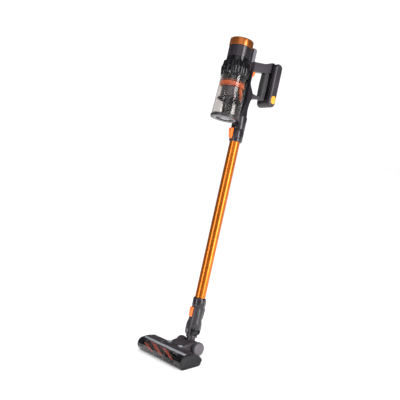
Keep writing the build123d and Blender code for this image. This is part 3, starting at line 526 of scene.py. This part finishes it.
def stage():
    """Camera, pale floor, two tall soft boxes and one overhead."""
    camera = bpy.data.objects.new("camera", bpy.data.cameras.new("camera"))
    camera.location = AXLE + CAMERA_FROM_AXLE
    camera.rotation_euler = CAMERA_TURN
    camera.data.lens = LENS
    camera.data.sensor_width = 36
    camera.data.dof.use_dof = False
    bpy.context.collection.objects.link(camera)
    bpy.context.scene.camera = camera

    clear_selection()
    bpy.ops.mesh.primitive_circle_add(vertices=96, radius=FLOOR_RADIUS, fill_type="NGON")
    floor = bpy.context.object
    floor.name = "floor"
    floor.data.materials.append(PAPER_FLOOR)

    # The room is bright to the floor and through clear parts, and dim in reflections.
    world = bpy.data.worlds.new("studio")
    bpy.context.scene.world = world
    world.use_nodes = True
    world.node_tree.nodes.clear()
    path = add_node(world, "ShaderNodeLightPath").outputs
    strength = None
    for ray, extra in (("Is Camera Ray", 1.0), ("Is Diffuse Ray", 1.0), ("Is Transmission Ray", 0.9)):
        total = add_node(world, "ShaderNodeMath", {0: path[ray]}, operation="MULTIPLY_ADD")
        total.inputs[1].default_value = extra
        total.inputs[2].default_value = ROOM_LIGHT
        if strength:
            world.node_tree.links.new(strength, total.inputs[2])
        strength = total.outputs[0]
    room = add_node(world, "ShaderNodeBackground", {"Strength": strength}, Color=(1, 1, 1, 1))
    add_node(world, "ShaderNodeOutputWorld", {"Surface": room.outputs["Background"]})
    bpy.context.scene.view_settings.view_transform = "Standard"

    # Name, compass angle, distance, size in metres, watts and height.
    soft_boxes = (
        ("soft_box_right", 99, 2.2, (0.8, 2.6), 60, 0.75),
        ("soft_box_left", 5, 2.6, (0.6, 2.6), 34, 0.9),
        ("soft_box_top", 52, 2.4, (2.2, 2.2), 16, 2.6),
    )
    for name, azimuth, far, size, watts, height in soft_boxes:
        lamp = bpy.data.lights.new(name, "AREA")
        lamp.shape = "RECTANGLE"
        lamp.size, lamp.size_y = size
        lamp.energy = watts
        holder = bpy.data.objects.new(name, lamp)
        bpy.context.collection.objects.link(holder)
        turn = math.radians(azimuth)
        holder.location = (far * math.sin(turn), -far * math.cos(turn), height)
        aim = AIM - holder.location
        holder.rotation_euler = aim.to_track_quat("-Z", "Y").to_euler()


stage()

# ---------------------------------------------------------------- wand and its fittings
TUBE_LOW, TUBE_HIGH = reach("wand_tube", ALONG)
TUBE_R = reach("wand_tube", X)[1]
TUBE_WALL = 1.2


def half_width(node):
    return reach(node, X)[1]


def button_pocket(node, above):
    """Cutter for a release button's pocket, with room below the button and above it."""
    low, high = reach(node, ALONG)
    half = half_width(node) + 0.2
    low, high = low - 0.7, high + above
    return slab("pocket", rounded([(-half, low), (half, low), (half, high), (-half, high)], 0.5),
                16, FACE, -27)


def wand():
    tube = lathe(
        "wand_tube_skin",
        [(TUBE_R - TUBE_WALL, TUBE_LOW), (TUBE_R, TUBE_LOW), (TUBE_R, TUBE_HIGH),
         (TUBE_R - TUBE_WALL, TUBE_HIGH)],
        AXLE, ALONG, 96, tube=True,
    )
    done(tube, "wand", ORANGE_TUBE, "tube_orange", "wand_tube")

    low, high = reach("wand_lower_fitting", ALONG)
    bore, spigot, seat = TUBE_R - 2.2, TUBE_R - 0.1, middle("lower_button", ALONG) + 16.6
    lower = lathe(
        "wand_lower_collar",
        [(bore, low), (spigot, low), (spigot, seat), (21.2, seat), (21.6, seat + 0.6),
         (22.0, seat + 12), (21.3, seat + 12.4), (21.3, seat + 13.6), (22.0, seat + 14),
         (22.1, high - 6), (20.6, high - 1.2), (19.6, high), (TUBE_R + 0.05, high),
         (TUBE_R + 0.05, high - 12), (bore, high - 12)],
        AXLE, ALONG, 72, tube=True,
    )
    ridge = slab(
        "ridge", rounded([(17.4, seat), (25.5, seat), (25.5, high - 8), (21.4, high - 0.6),
                          (17.4, high - 0.6)], 2.5), 16)
    carve(lower, bevel(ridge, 1.6), operation="UNION")
    bore_cut = lathe("bore", [(TUBE_R + 0.05, high - 12), (TUBE_R + 0.05, high + 4)], AXLE, ALONG, 72)
    done(carve(lower, bore_cut), "wand", HOUSING, "dark_metallic", "wand_lower_fitting")

    low, high = reach("wand_upper_fitting", ALONG)
    upper = lathe(
        "wand_upper_collar",
        [(bore, low + 11), (TUBE_R + 0.05, low + 11), (TUBE_R + 0.05, low), (19.6, low),
         (20.6, low + 1.2), (21.6, low + 5), (21.7, low + 12), (21.0, low + 12.4),
         (21.0, low + 13.6), (21.7, low + 14), (22.0, high - 1), (21.4, high),
         (TUBE_R, high), (TUBE_R, low + 15), (bore, low + 15)],
        AXLE, ALONG, 72, tube=True,
    )
    ridge = slab(
        "ridge", rounded([(18.9, low + 1), (21.5, low + 1), (24.5, low + 8), (24.5, high - 0.3),
                          (18.9, high - 0.3)], 2.5), 16)
    carve(upper, bevel(ridge, 1.6), operation="UNION")
    pocket = button_pocket("upper_button", 1.5)
    done(carve(upper, pocket), "wand", HOUSING, "dark_metallic", "wand_upper_fitting")


def release_button(node, body, piece_name):
    """Orange wedge with a rounded thumb face and ribs across its thick end."""
    low, high = reach(node, ALONG)
    front, inner = reach(node, REAR)
    thin = front + (6.5 if node == "upper_button" else 2.0)
    width = half_width(node) * 2
    wedge = slab(
        piece_name, rounded([(inner, low), (inner, high), (front, high, 2.4), (front, high - 10, 6),
                             (thin, low + 2, 3), (thin + 2, low, 1)], 0.6), width)
    bevel(wedge, 1.3)
    rib = slab("rib", rounded([(front - 0.1, 0), (front + 3, 0), (front + 3, 1.2), (front - 0.1, 1.2)], 0.5),
               width - 4, STICK)
    rib.data.transform(Matrix.Translation(ALONG * (high - 11) * MM))
    copies(rib, [Matrix.Translation(ALONG * 2.6 * MM * step) for step in (1, 2, 3)])
    carve(wedge, rib)
    spring = f"{node}_spring"
    seat = AXLE + ALONG * middle(spring, ALONG) * MM
    room = lathe("room", [(half_width(spring) + 0.5, reach(spring, REAR)[0] - 2.6),
                          (half_width(spring) + 0.5, inner + 2)], seat, REAR, 32)
    done(carve(wedge, room), body, ORANGE_ABS, "orange_plastic", node)


wand()
release_button("lower_button", "lower_release", "lower_release_button")
release_button("upper_button", "upper_release", "upper_release_button")


# ---------------------------------------------------------------- elbow, neck and cradle
SWIVEL = Vector(JOINTS["neck_tilt"]["pos_m"])
SWIVEL_S = (SWIVEL - AXLE).dot(ALONG) / MM
CHEEK_IN = reach("neck_barrel", REAR)[1] + 0.4
ELBOW_R = 24.4
KNUCKLE_R = 18.4
CRADLE_HALF = 38


def elbow():
    high = reach("elbow_fork", ALONG)[1]
    out = ELBOW_R
    body = lathe(
        "elbow_shell",
        [(16.2, 63), (20.4, 63), (20.4, 55.5), (out - 1, 55.5), (out, 57), (out, 78), (23.6, 82),
         (22.4, 88), (21.9, 93), (21.9, high - 0.8), (21.4, high), (18.0, high), (18.0, 94), (16.2, 94)],
        AXLE, ALONG, 72, tube=True,
    )
    for face in (-1, 1):
        cheek = slab(
            "cheek",
            rounded([(-12, 78), (12, 78), (12, SWIVEL_S - 12, 11.8), (-12, SWIVEL_S - 12, 11.8)], 6, 12),
            out - CHEEK_IN, FACE, face * (out + CHEEK_IN) / 2,
        )
        carve(body, bevel(cheek, 1.4), operation="UNION")
    carve(body, button_pocket("lower_button", 1.3))
    ridge = slab("ridge", rounded([(18.6, 84), (25.6, 92), (28.4, high), (18.6, high)], 2), 16)
    carve(body, bevel(ridge, 1.4), operation="UNION")
    bore = lathe("bore", [(18.0, 94), (18.0, high + 5)], AXLE, ALONG, 72)
    done(carve(body, bore), "elbow", CASE, "dark_metallic", "elbow_fork")
    for face, label in ((-1, "front"), (1, "rear")):
        boss = lathe(
            f"pin_cover_{label}",
            [(0.4, 0), (6.4, 0), (6.6, 0.5), (6.6, 1.2), (6.0, 1.7), (4.4, 1.7), (4.1, 1.3), (0.4, 1.3)],
            SWIVEL + REAR * face * (out - 0.1) * MM, REAR * face, 40,
        )
        done(boss, "elbow", HUB, "hub_grey")


def neck():
    barrel_r = KNUCKLE_R
    barrel_half = half_width("neck_barrel")
    turned = lathe(
        "neck_knuckle",
        [(3.1, -barrel_half), (barrel_r - 0.8, -barrel_half), (barrel_r, -barrel_half + 0.8),
         (barrel_r, barrel_half - 0.8), (barrel_r - 0.8, barrel_half), (3.1, barrel_half)],
        AXLE, X, 72, tube=True,
    )
    tube = lathe("stem", [(14.6, 6), (14.6, 33.4), (13.9, 34.8), (11.8, 35.0), (11.8, 6)], AXLE, ALONG, 64)
    carve(turned, tube, operation="UNION")
    for face in (-1, 1):
        lug = slab(
            "lug", rounded([(-7, 27), (7, 27), (7, SWIVEL_S + 7, 6.9), (-7, SWIVEL_S + 7, 6.9)], 1.5, 12),
            5.4, FACE, face * (CHEEK_IN - 0.4 - 2.7),
        )
        carve(turned, bevel(lug, 0.6), operation="UNION")
    throat = lathe("throat", [(12.0, 2), (12.0, 60)], AXLE, ALONG, 64)
    done(carve(turned, throat), "neck", CASE, "dark_plastic", "neck_barrel")

    low, high = reach("neck_hose", ALONG)
    ribs, ball = 8, 14.3
    profile = [(8.6, low), (10.4, low)]
    for step in range(ribs * 4 + 1):
        height = (step / (ribs * 4) - 0.5) * 20.4
        wave = 0.9 * (0.5 - 0.5 * math.cos(2 * math.pi * step / 4))
        profile.append((math.sqrt(ball ** 2 - height ** 2) - 0.9 + wave, SWIVEL_S + height))
    profile += [(10.4, high), (8.6, high)]
    bellows = lathe("neck_bellows", profile, AXLE, ALONG, 64, tube=True)
    done(bellows, "neck", HOSE, "black_rubber", "neck_hose", smooth=60)


def head_outline(inset=0.0):
    """Side outline of the floor head: round nose, low crown, raked heel."""
    brush = Vector(JOINTS["brush_spin"]["pos_m"])
    across, up = (brush.y - AXLE.y) / MM, brush.z / MM
    nose = 21.5 - inset
    points = []
    for step in range(13):
        angle = math.radians(90 + 154 * step / 12)
        points.append((across + nose * math.cos(angle), max(up + nose * math.sin(angle), inset)))
    points += [(across - 11, inset), (-54.5, inset)]
    heel = [(-54, inset + 1), (-46.5 - inset, 9), (-42.5 - inset, 16), (-43.5 - inset, 21),
            (-50 - inset, 29.5), (-60, 37 - inset), (-70, 40.8 - inset), (-80, 42.6 - inset),
            (-93, 42.9 - inset)]
    return points + heel


def cradle():
    half = CRADLE_HALF
    shape = slab(
        "neck_cradle_shell",
        [(-62, 15), (-62, 36), (-40, 43.6), (2, 44.6), (19, 34), (22.6, 20), (16, 7), (-44, 7)],
        2 * half, HEAD,
    )
    bevel(shape, 8.5, 6, 12)
    bore = lathe("bore", [(KNUCKLE_R + 0.5, -half + 2.6), (KNUCKLE_R + 0.5, half - 2.6)], AXLE, X, 72)
    slot = slab("slot", [(-15.6, 22), (-15.6, 70), (80, 70), (80, 0), (0, 8), (0, 22)], 33, HEAD)
    outline = slab("head_room", head_outline(-0.1), 110, HEAD)
    axle_hole = lathe("axle_hole", [(3.05, -60), (3.05, 60)], AXLE, X, 32)
    duct = slab("duct", [(-50, 13), (-10, 13), (-10, 35), (-50, 35)], 44, HEAD)
    carve(shape, bore, slot, outline, axle_hole, duct)
    done(shape, "floor_head", COVER, "dark_plastic", "neck_cradle")


def wheels():
    out_face, in_face = half_width("wheel_tyre_right"), reach("wheel_tyre_right", X)[0]
    radius = (reach("wheel_tyre_right", UP)[1] - reach("wheel_tyre_right", UP)[0]) / 2
    hub_face = half_width("wheel_hub_right")
    for side, label in ((-1, "left"), (1, "right")):
        outward = X * side
        tyre = lathe(
            f"wheel_tread_{label}",
            [(8, in_face), (radius - 2.2, in_face), (radius - 0.6, in_face + 0.6), (radius, in_face + 2.2),
             (radius, out_face - 2.6), (radius - 0.5, out_face - 0.8), (radius - 1.6, out_face),
             (radius - 2.6, out_face), (radius - 2.6, out_face - 3), (8, out_face - 3)],
            AXLE, outward, 96, tube=True,
        )
        groove = lathe(
            "groove",
            [(radius - 0.9, 0), (radius + 2, 0), (radius + 2, 0.9), (radius - 0.9, 0.9)],
            AXLE + outward * (in_face + 2.4) * MM, outward, 96, tube=True,
        )
        copies(groove, [Matrix.Translation(outward * 2.4 * step * MM) for step in (1, 2)])
        carve(tyre, groove)
        done(tyre, f"wheel_{label}", TYRE, "tread_rubber", f"wheel_tyre_{label}")
        disc = lathe(
            f"wheel_disc_{label}",
            [(3.06, in_face + 0.1), (8, in_face + 0.1), (8, hub_face - 4.1), (radius - 2.7, hub_face - 4.1),
             (radius - 2.7, hub_face - 0.8), (radius - 3.4, hub_face - 0.1), (radius - 5.2, hub_face),
             (radius - 5.6, hub_face - 0.5), (radius - 6.3, hub_face - 0.5), (radius - 6.7, hub_face),
             (7.4, hub_face + 0.1), (7.0, hub_face - 0.6), (6.2, hub_face - 0.6), (5.8, hub_face),
             (1.0, hub_face + 0.3), (0.6, hub_face - 3), (3.06, hub_face - 4)],
            AXLE, outward, 72, tube=True,
        )
        done(disc, f"wheel_{label}", HUB, "hub_grey", f"wheel_hub_{label}")


elbow()
neck()
cradle()
wheels()


# ---------------------------------------------------------------- floor head
BRUSH = Vector(JOINTS["brush_spin"]["pos_m"])
TWIST = 280  # degrees that a brush strip winds from end to end


def wound(name, corners, centre, axis, toward, degrees, rise, steps):
    """Strip of (radius, height) corners wound about an axis by the screw modifier."""
    side = axis.cross(toward)
    turn = Matrix((toward, side, axis)).transposed().to_quaternion()
    points = [centre + turn @ Vector((radius * MM, 0, height * MM)) for radius, height in corners]
    clear_selection()
    bpy.ops.mesh.primitive_plane_add(size=MM, location=centre, rotation=turn.to_euler())
    edit()
    bpy.ops.mesh.merge(type="CENTER")
    bpy.ops.transform.translate(value=points[0] - centre)
    for before, after in zip(points, points[1:]):
        bpy.ops.mesh.extrude_region_move(TRANSFORM_OT_translate={"value": after - before})
    bpy.ops.mesh.select_all(action="SELECT")
    bpy.ops.mesh.edge_face_add()
    bpy.ops.object.mode_set(mode="OBJECT")
    modify(
        bpy.context.object, "SCREW", axis="Z", angle=math.radians(degrees), screw_offset=rise * MM,
        steps=steps, render_steps=steps, use_merge_vertices=False,
    )
    edit()
    bpy.ops.mesh.fill_holes(sides=0)
    return tidy(name)


def brush():
    half = (reach("bristle_strips", X)[1] - reach("bristle_strips", X)[0]) / 2
    core_r = 11.0
    core_half = half_width("brush_core")
    core = lathe(
        "brush_core_body",
        [(3.2, -core_half), (core_r - 1.2, -core_half), (core_r, -half - 3), (core_r, half + 3),
         (core_r - 1.2, core_half), (3.2, core_half)],
        BRUSH, X, 48, tube=True,
    )
    done(core, "brush_roll", CORE, "core_grey", "brush_core")
    quarter = [about(BRUSH, X, 90 * step) for step in (1, 2, 3)]
    bristle = wound(
        "bristle_rows", [(10.8, -half), (17.5, -half), (17.5, -half + 4.5), (10.8, -half + 4.5)],
        BRUSH, X, UP, TWIST, 2 * half - 4.5, 84,
    )
    copies(bristle, quarter)
    done(bristle, "brush_roll", NYLON, "bristle_nylon", "bristle_strips")
    pile = wound(
        "pile_rows",
        [(10.8, -half), (14.6, -half), (15.8, -half + 2), (16.1, -half + 5), (16.1, -half + 25),
         (15.8, -half + 28), (14.6, -half + 30), (10.8, -half + 30)],
        BRUSH, X, (UP + BACK).normalized(), TWIST * (half - 15) / half, 2 * half - 30, 84,
    )
    copies(pile, quarter)
    done(pile, "brush_roll", PILE, "pile_red", "pile_strips")


def head():
    brush()
    for node, piece_name, material, slot, edge in (
        ("head_base", "head_tray", CASE, "dark_plastic", 0.35),
        ("head_top_cover", "head_ridged_cover", COVER, "dark_plastic", 0.5),
        ("brush_window", "brush_window_panel", WINDOW, "clear_smoke", 0.25),
    ):
        done(bevel(cad_copy(node, piece_name), edge, 2), "floor_head", material, slot, node)
    wide = half_width("side_cap_right")
    inner = reach("side_cap_right", X)[0]
    for side, label in ((-1, "left"), (1, "right")):
        cap = slab(f"side_cap_{label}_shell", head_outline(), wide - inner, HEAD, side * (wide + inner) / 2)
        bevel(cap, 2.6, 4, 50)
        recess = slab("recess", head_outline(6.5), 1.2, HEAD, side * (wide + 0.1))
        carve(cap, bevel(recess, 0.5, 2, 50))
        done(cap, "floor_head", BLACK, "gloss_black", f"side_cap_{label}")
        clip = slab(
            f"cradle_clip_{label}",
            rounded([(-66, 37), (-66, 42.6, 2), (-55, 42, 3), (-51, 37, 1)], 1), 11, HEAD, side * 30,
        )
        done(bevel(clip, 1.2), "floor_head", SILVER, "bright_trim")
    surround = slab("window_surround", head_outline(-0.35), 2 * inner - 0.6, HEAD)
    inside = slab("inside", head_outline(0.25), 2 * inner + 8, HEAD)
    behind = block("behind", (2 * inner + 8, 100, 100), place(HEAD, -50, 40))
    below = block("below", (2 * inner + 8, 100, 20), place(HEAD, -110, -0.6))
    opening = block("opening", (2 * inner - 54, 40, 60), place(HEAD, -124, 46))
    carve(surround, inside, behind, below, bevel(opening, 5, 4))
    done(surround, "floor_head", BLACK, "gloss_black")
    across, up = reach("trim_bar", BACK), reach("trim_bar", UP, Vector())
    centre, half_deep, half_high = sum(across) / 2 - 1, 6.8, 4.4
    bar_outline = [
        (centre + half_deep * math.cos(turn), up[1] - half_high + half_high * math.sin(turn))
        for turn in (math.radians(15 * step) for step in range(24))
    ]
    bar = slab("head_silver_bar", bar_outline, 2 * half_width("trim_bar"), HEAD)
    done(bevel(bar, 1.2, 3, 60), "floor_head", SILVER, "bright_trim", "trim_bar")
    hump = slab(
        "brush_motor_hump",
        [(-91, 34), (-91, 45.4), (-72, 46.6), (-60, 41), (-53, 30), (-60, 26)], 70, HEAD, -72,
    )
    done(bevel(hump, 3.4, 4, 12), "floor_head", COVER, "dark_plastic")


head()

# ---------------------------------------------------------------- dust cup and its core
BARREL_FORWARD = 66  # from the wand's axis to the barrel's
BARREL = AXLE - REAR * BARREL_FORWARD * MM


def turned(name, profile, segments=96, tube=True):
    return lathe(name, profile, BARREL, ALONG, segments, tube)


def dust_cup():
    low, high = reach("clear_cup", ALONG)
    cup = turned(
        "dust_cup_wall",
        [(46.5, low), (48.3, low), (48.6, low + 0.4), (48.6, low + 3.2), (48.1, low + 4), (44.6, high - 5),
         (44.7, high - 0.4), (44.3, high), (42.6, high), (42.6, high - 4), (46.4, low + 3.4)],
    )
    done(cup, "hand_unit", CLEAR, "clear_smoke", "clear_cup")
    collar = turned(
        "dust_cup_collar",
        [(33.0, 886), (41.5, 886), (42.1, 886.6), (42.1, 905.3), (46.0, 905.3), (46.5, 905.8),
         (46.5, 908.4), (46.0, 908.9), (33.0, 908.9)],
    )
    done(collar, "hand_unit", BLACK, "gloss_black", "cup_collar")
    ring = turned(
        "cup_seal_ring",
        [(32.7, 871.4), (37.2, 870.4), (38.6, 870.8), (41.8, 873.6), (42.3, 875), (42.4, 884.6),
         (41.9, 885.6), (32.7, 885.6)],
    )
    done(ring, "hand_unit", SEAL, "seal_orange", "seal_ring")
    line = turned("cup_seal_line", [(41.6, 888.4), (42.3, 888.6), (42.35, 889.2), (42.3, 889.8), (41.6, 890)])
    done(line, "hand_unit", SEAL, "seal_orange", "seal_ring")
    tail = wound(
        "cup_seal_tail",
        [(32.6, 862), (38.6, 862), (40.0, 863.2), (40.2, 866), (40.2, 872), (39.4, 873.4), (32.6, 874)],
        BARREL, ALONG, (X + REAR * 0.15).normalized(), 54, -34, 40,
    )
    ribs = block("ribs", (1.6, 9, 2.2), BARREL + X * 38 * MM + ALONG * 869 * MM, STICK_TILT)
    steps = [about(BARREL, ALONG, 7 * step) @ Matrix.Translation(ALONG * -3.4 * MM * step)
             for step in range(1, 9)]
    done(carve(tail, copies(ribs, steps)), "hand_unit", SEAL, "seal_orange")
    screen = turned(
        "cup_screen",
        [(31.2, 835.8), (33.2, 835.8), (33.4, 836.4), (33.4, 838.2), (32.4, 838.8), (32.4, 862.2),
         (32.8, 862.6), (32.8, 863.6), (32.4, 864), (32.4, 889.7), (31.2, 889.7)],
    )
    done(screen, "hand_unit", SCREEN, "mesh_steel", "mesh_shroud")
    skirt = turned(
        "cup_skirt_and_post",
        [(0.5, 773.9), (13.6, 773.9), (14.5, 774.8), (16.9, 805), (18.2, 810), (21.5, 814), (30, 818),
         (39.6, 823.4), (40.4, 824.6), (40.5, 827), (39.9, 828.6), (34.5, 833.4), (33.0, 835.7),
         (0.5, 835.7)],
        tube=False,
    )
    done(skirt, "hand_unit", BLACK, "gloss_black", "skirt_and_post")
    lid = bevel(cad_copy("cup_lid", "dust_cup_lid"), 0.6, 3)
    done(lid, "cup_lid", CASE, "lid_grey", "cup_lid")
    band = turned(
        "lid_underside_band",
        [(31.4, 762.9), (32, 762.4), (37.4, 762.4), (38, 762.9), (38, 763.4), (31.4, 763.4)],
    )
    done(band, "cup_lid", LID_GREY, "lid_grey")
    centre = turned(
        "lid_underside_disc",
        [(0.5, 763.6), (16.4, 763.6), (17.2, 764.2), (17.2, 766.4), (0.5, 766.4)], tube=False,
    )
    done(centre, "cup_lid", LID_GREY, "lid_grey")


def cyclones():
    core = turned(
        "cyclone_core",
        [(0.5, 909.2), (43.4, 909.2), (44.2, 910), (45.8, 916), (45.8, 931), (44.6, 937), (41.5, 950),
         (39.4, 962), (38.9, 973.8), (0.5, 973.8)], tube=False,
    )
    lobe = lathe(
        "cyclone_upper_lobes",
        [(0.5, 916), (10.8, 916), (12.8, 918.4), (13.0, 921), (9.9, 955.4), (8.8, 958.2), (6.6, 959.6),
         (0.5, 960)],
        BARREL + X * 36 * MM, ALONG, 32,
    )
    ring = [about(BARREL, ALONG, 30 * step) for step in range(1, 12)]
    copies(lobe, ring)
    low_lobe = lathe(
        "cyclone_lower_lobes",
        [(0.5, 911), (6.8, 911), (8.0, 912.6), (10.9, 936.6), (10.7, 939), (9.2, 941), (6.4, 942),
         (0.5, 942.2)],
        BARREL + X * 39.5 * MM, ALONG, 32,
    )
    low_lobe.data.transform(about(BARREL, ALONG, 15))
    copies(low_lobe, ring)
    for piece in (core, lobe, low_lobe):
        done(piece, "hand_unit", BLACK, "gloss_black", "cyclone_cluster")


def motor_and_cap():
    low, high = reach("motor_housing", ALONG)
    housing = turned(
        "motor_housing_shell",
        [(36.4, low), (38.2, low), (39.0, low + 0.9), (39.0, low + 9.4), (38.6, low + 9.8),
         (38.6, low + 10.8), (39.0, low + 11.2), (39.0, high - 0.8), (38.4, high), (36.4, high)],
    )
    done(housing, "hand_unit", HOUSING, "dark_metallic", "motor_housing")
    low, high = reach("filter_cap", ALONG)
    cap = turned(
        "filter_cap_band",
        [(38.4, low), (39.8, low), (40.3, low + 0.6), (40.3, high - 4.6), (39.8, high - 2.6),
         (38.2, high - 1.2), (35.6, high - 0.6), (33.6, high - 0.4), (33.4, high - 2.4), (37.2, high - 4.2),
         (38.4, high - 6)],
    )
    done(cap, "filter_cap", ORANGE_BAND, "band_orange", "filter_cap")
    grille = turned(
        "filter_cap_grille",
        [(0.5, high - 3.4), (33.8, high - 3.4), (33.8, high - 0.8), (33.0, high - 0.2), (12.6, high - 0.2),
         (11.8, high - 1.0), (10.8, high - 1.0), (10.0, high - 0.1), (0.5, high - 0.1)], tube=False,
    )
    slot = slab(
        "slot", rounded([(14.6, high - 8), (31.4, high - 8), (31.4, high + 3), (14.6, high + 3)], 0.1),
        2.4, (BARREL, REAR, ALONG, X),
    )
    copies(slot, [about(BARREL, ALONG, 12 * step) for step in range(1, 30)])
    carve(grille, slot)
    done(grille, "filter_cap", HOUSING, "band_orange", "filter_cap")


dust_cup()
cyclones()
motor_and_cap()


# ---------------------------------------------------------------- spine, handle and battery
def barrel_room(gap):
    """Cutter a gap wider than the barrel: cup, cyclones, housing and cap."""
    return turned(
        "barrel_room",
        [(0.5, 700), (50 + gap, 700), (50 + gap, 771), (48.4 + gap, 905), (51.2 + gap, 906),
         (51.2 + gap, 945), (39 + gap, 972), (39 + gap, 1012.8), (40.3 + gap, 1012.9),
         (40.3 + gap, 1060), (0.5, 1060)], 96, False,
    )


def upright():
    low, high = reach("upright_block", ALONG)
    front, rear = reach("upright_block", REAR)
    # The dark front piece of the block is painted shade. It stands for the shadow that the housing casts on
    # the block. The light grey shell behind it carries the block's paint.
    shaded_front = slab(
        "upright_block_painted_shade",
        rounded([(front, low), (rear - 10, low), (rear - 10, high - 1, 5), (front, high - 4)], 0.6, 12), 23,
    )
    bevel(shaded_front, 1.6, 3)
    done(carve(shaded_front, barrel_room(0.25)), "hand_unit", HOUSING, "dark_metallic")
    body = slab(
        "upright_block_shell",
        rounded([(rear - 14, low), (rear, low), (rear, high - 5, 6), (rear - 5, high, 3),
                 (rear - 14, high, 1)], 0.6, 12), 24,
    )
    bevel(body, 2.6, 4)
    carve(body, barrel_room(0.25))
    button_low, button_high = reach("mode_button", REAR)
    centre = AXLE + ALONG * middle("mode_button", ALONG) * MM
    pocket = lathe("pocket", [(5.3, button_low - 2.2), (5.3, button_high + 6)], centre, REAR, 40)
    done(carve(body, pocket), "hand_unit", LIGHT_PAINT, "cap_silver", "upright_block")
    button = lathe(
        "mode_button_dome",
        [(0.4, button_low), (4.9, button_low), (5.0, button_high - 1.4), (4.6, button_high - 0.5),
         (3.4, button_high), (2.8, button_high - 0.35), (0.4, button_high - 0.5)],
        centre, REAR, 40,
    )
    done(button, "mode_button", ORANGE_ABS, "orange_plastic", "mode_button")


def handle():
    bar = slab(
        "handle_top_beam",
        rounded([(-1, 953, 2), (-1, 987, 2), (30, 993.6, 20), (56, 1000, 30), (72, 1009.6, 16),
                 (79.9, 1011.5, 1), (79.9, 976, 1), (60, 969, 16), (23, 958.4, 6)], 4, 12), 28,
    )
    bevel(bar, 4.6, 4)
    pocket = block("pocket", (12.4, 20, 30), place(STICK, 12, 953.5), STICK_TILT)
    done(carve(bar, pocket), "hand_unit", HANDLE, "dark_metallic", "handle_top_bar")
    beam = slab(
        "handle_lower_beam",
        rounded([(11, 842, 1), (11, 889, 1), (20, 883.5, 12), (34, 880.5, 20), (50, 882, 30),
                 (79.9, 888, 0.5), (79.9, 878.5, 0.5), (56, 871, 20), (44, 868.5, 20), (30, 864, 16),
                 (20, 855, 12)], 3, 12), 18,
    )
    done(bevel(beam, 3.2, 4), "hand_unit", HANDLE, "dark_metallic", "handle_bottom_bar")
    centre = AXLE + REAR * middle("grip", REAR) * MM
    sleeve = lathe(
        "grip_sleeve",
        [(0.5, 876), (12.6, 876), (13.1, 884), (13.7, 896), (14.3, 915), (14.4, 930), (13.9, 950),
         (13.4, 964), (13.2, 972), (0.5, 972)], centre, ALONG, 64,
    )
    done(sleeve, "hand_unit", SOFT_BLACK, "grip_rubber", "grip")
    rail = bevel(cad_copy("battery_rail", "battery_rail_plate"), 0.6, 2)
    done(rail, "hand_unit", BLACK, "gloss_black", "battery_rail")
    pull = slab(
        "trigger_lever",
        rounded([(5, 967, 2), (5, 945, 5), (6.5, 938.5, 1.5), (13, 938, 2), (17.5, 945, 8), (17.5, 967, 2)],
                2, 12), 11.6,
    )
    done(bevel(pull, 1.6), "trigger", ORANGE_ABS, "orange_plastic", "trigger")
    panel = slab(
        "spine_side_panels",
        rounded([(-19, 797), (-5, 797), (-3, 850), (-5, 905), (-7, 962), (-16, 962), (-20, 880)], 3.5, 12),
        34,
    )
    bevel(panel, 0.8, 2)
    done(carve(panel, barrel_room(0.4)), "hand_unit", BLACK, "dark_metallic")
    spine = bevel(cad_copy("spine", "spine_shell"), 1.0, 3)
    done(spine, "hand_unit", HOUSING, "dark_metallic", "spine")


def battery():
    low, high = reach("battery_shell", ALONG)
    front, rear = reach("battery_shell", REAR)
    wide = 2 * half_width("battery_shell")
    case = slab(
        "battery_case",
        rounded([(front, low), (rear, low), (rear, high), (front, high)], 16.3, 9), wide,
    )
    bevel(case, 7.5, 6)
    for out in (-17.5, 17.5):
        seam = slab("seam", rounded([(front - 2, low - 2), (rear + 2, low - 2), (rear + 2, high + 2),
                                     (front - 2, high + 2)], 18, 9), 0.7, STICK, out)
        inside = slab("inside", rounded([(front + 0.6, low + 0.6), (rear - 0.6, low + 0.6),
                                         (rear - 0.6, high - 0.6), (front + 0.6, high - 0.6)], 15.7, 9),
                      3, STICK, out)
        carve(case, carve(seam, inside))
    socket = lathe("socket", [(2.75, low - 3), (2.75, low + 10)], AXLE + REAR * 100.5 * MM, ALONG, 32)
    carve(case, socket)
    for side, label in ((-1, "left"), (1, "right")):
        node = f"battery_button_{label}"
        across, up = reach(node, REAR), reach(node, ALONG)
        deep, proud = sorted(abs(value) for value in reach(node, X))
        room = slab("room", oval(across, up, 0.4), 7, STICK, side * (deep + 0.8))
        carve(case, room)
        button = slab(f"battery_release_oval_{label}", oval(across, up, 0), proud - deep, STICK,
                      side * (deep + proud) / 2)
        bevel(button, 0.9, 3)
        groove = block("groove", (1.2, 10, 1.0), place(STICK, sum(across) / 2, sum(up) / 2 - 3, side * proud),
                       STICK_TILT)
        copies(groove, [Matrix.Translation(ALONG * 3 * MM * step) for step in (1, 2)])
        done(carve(button, groove), f"battery_release_{label}", ORANGE_SOFT, "orange_plastic", node)
    done(case, "battery", BATTERY, "battery_plastic", "battery_shell")


def oval(across, up, gap):
    corners = [(across[0] - gap, up[0] - gap), (across[1] + gap, up[0] - gap),
               (across[1] + gap, up[1] + gap), (across[0] - gap, up[1] + gap)]
    return rounded(corners, 30, 12)


upright()
handle()
battery()
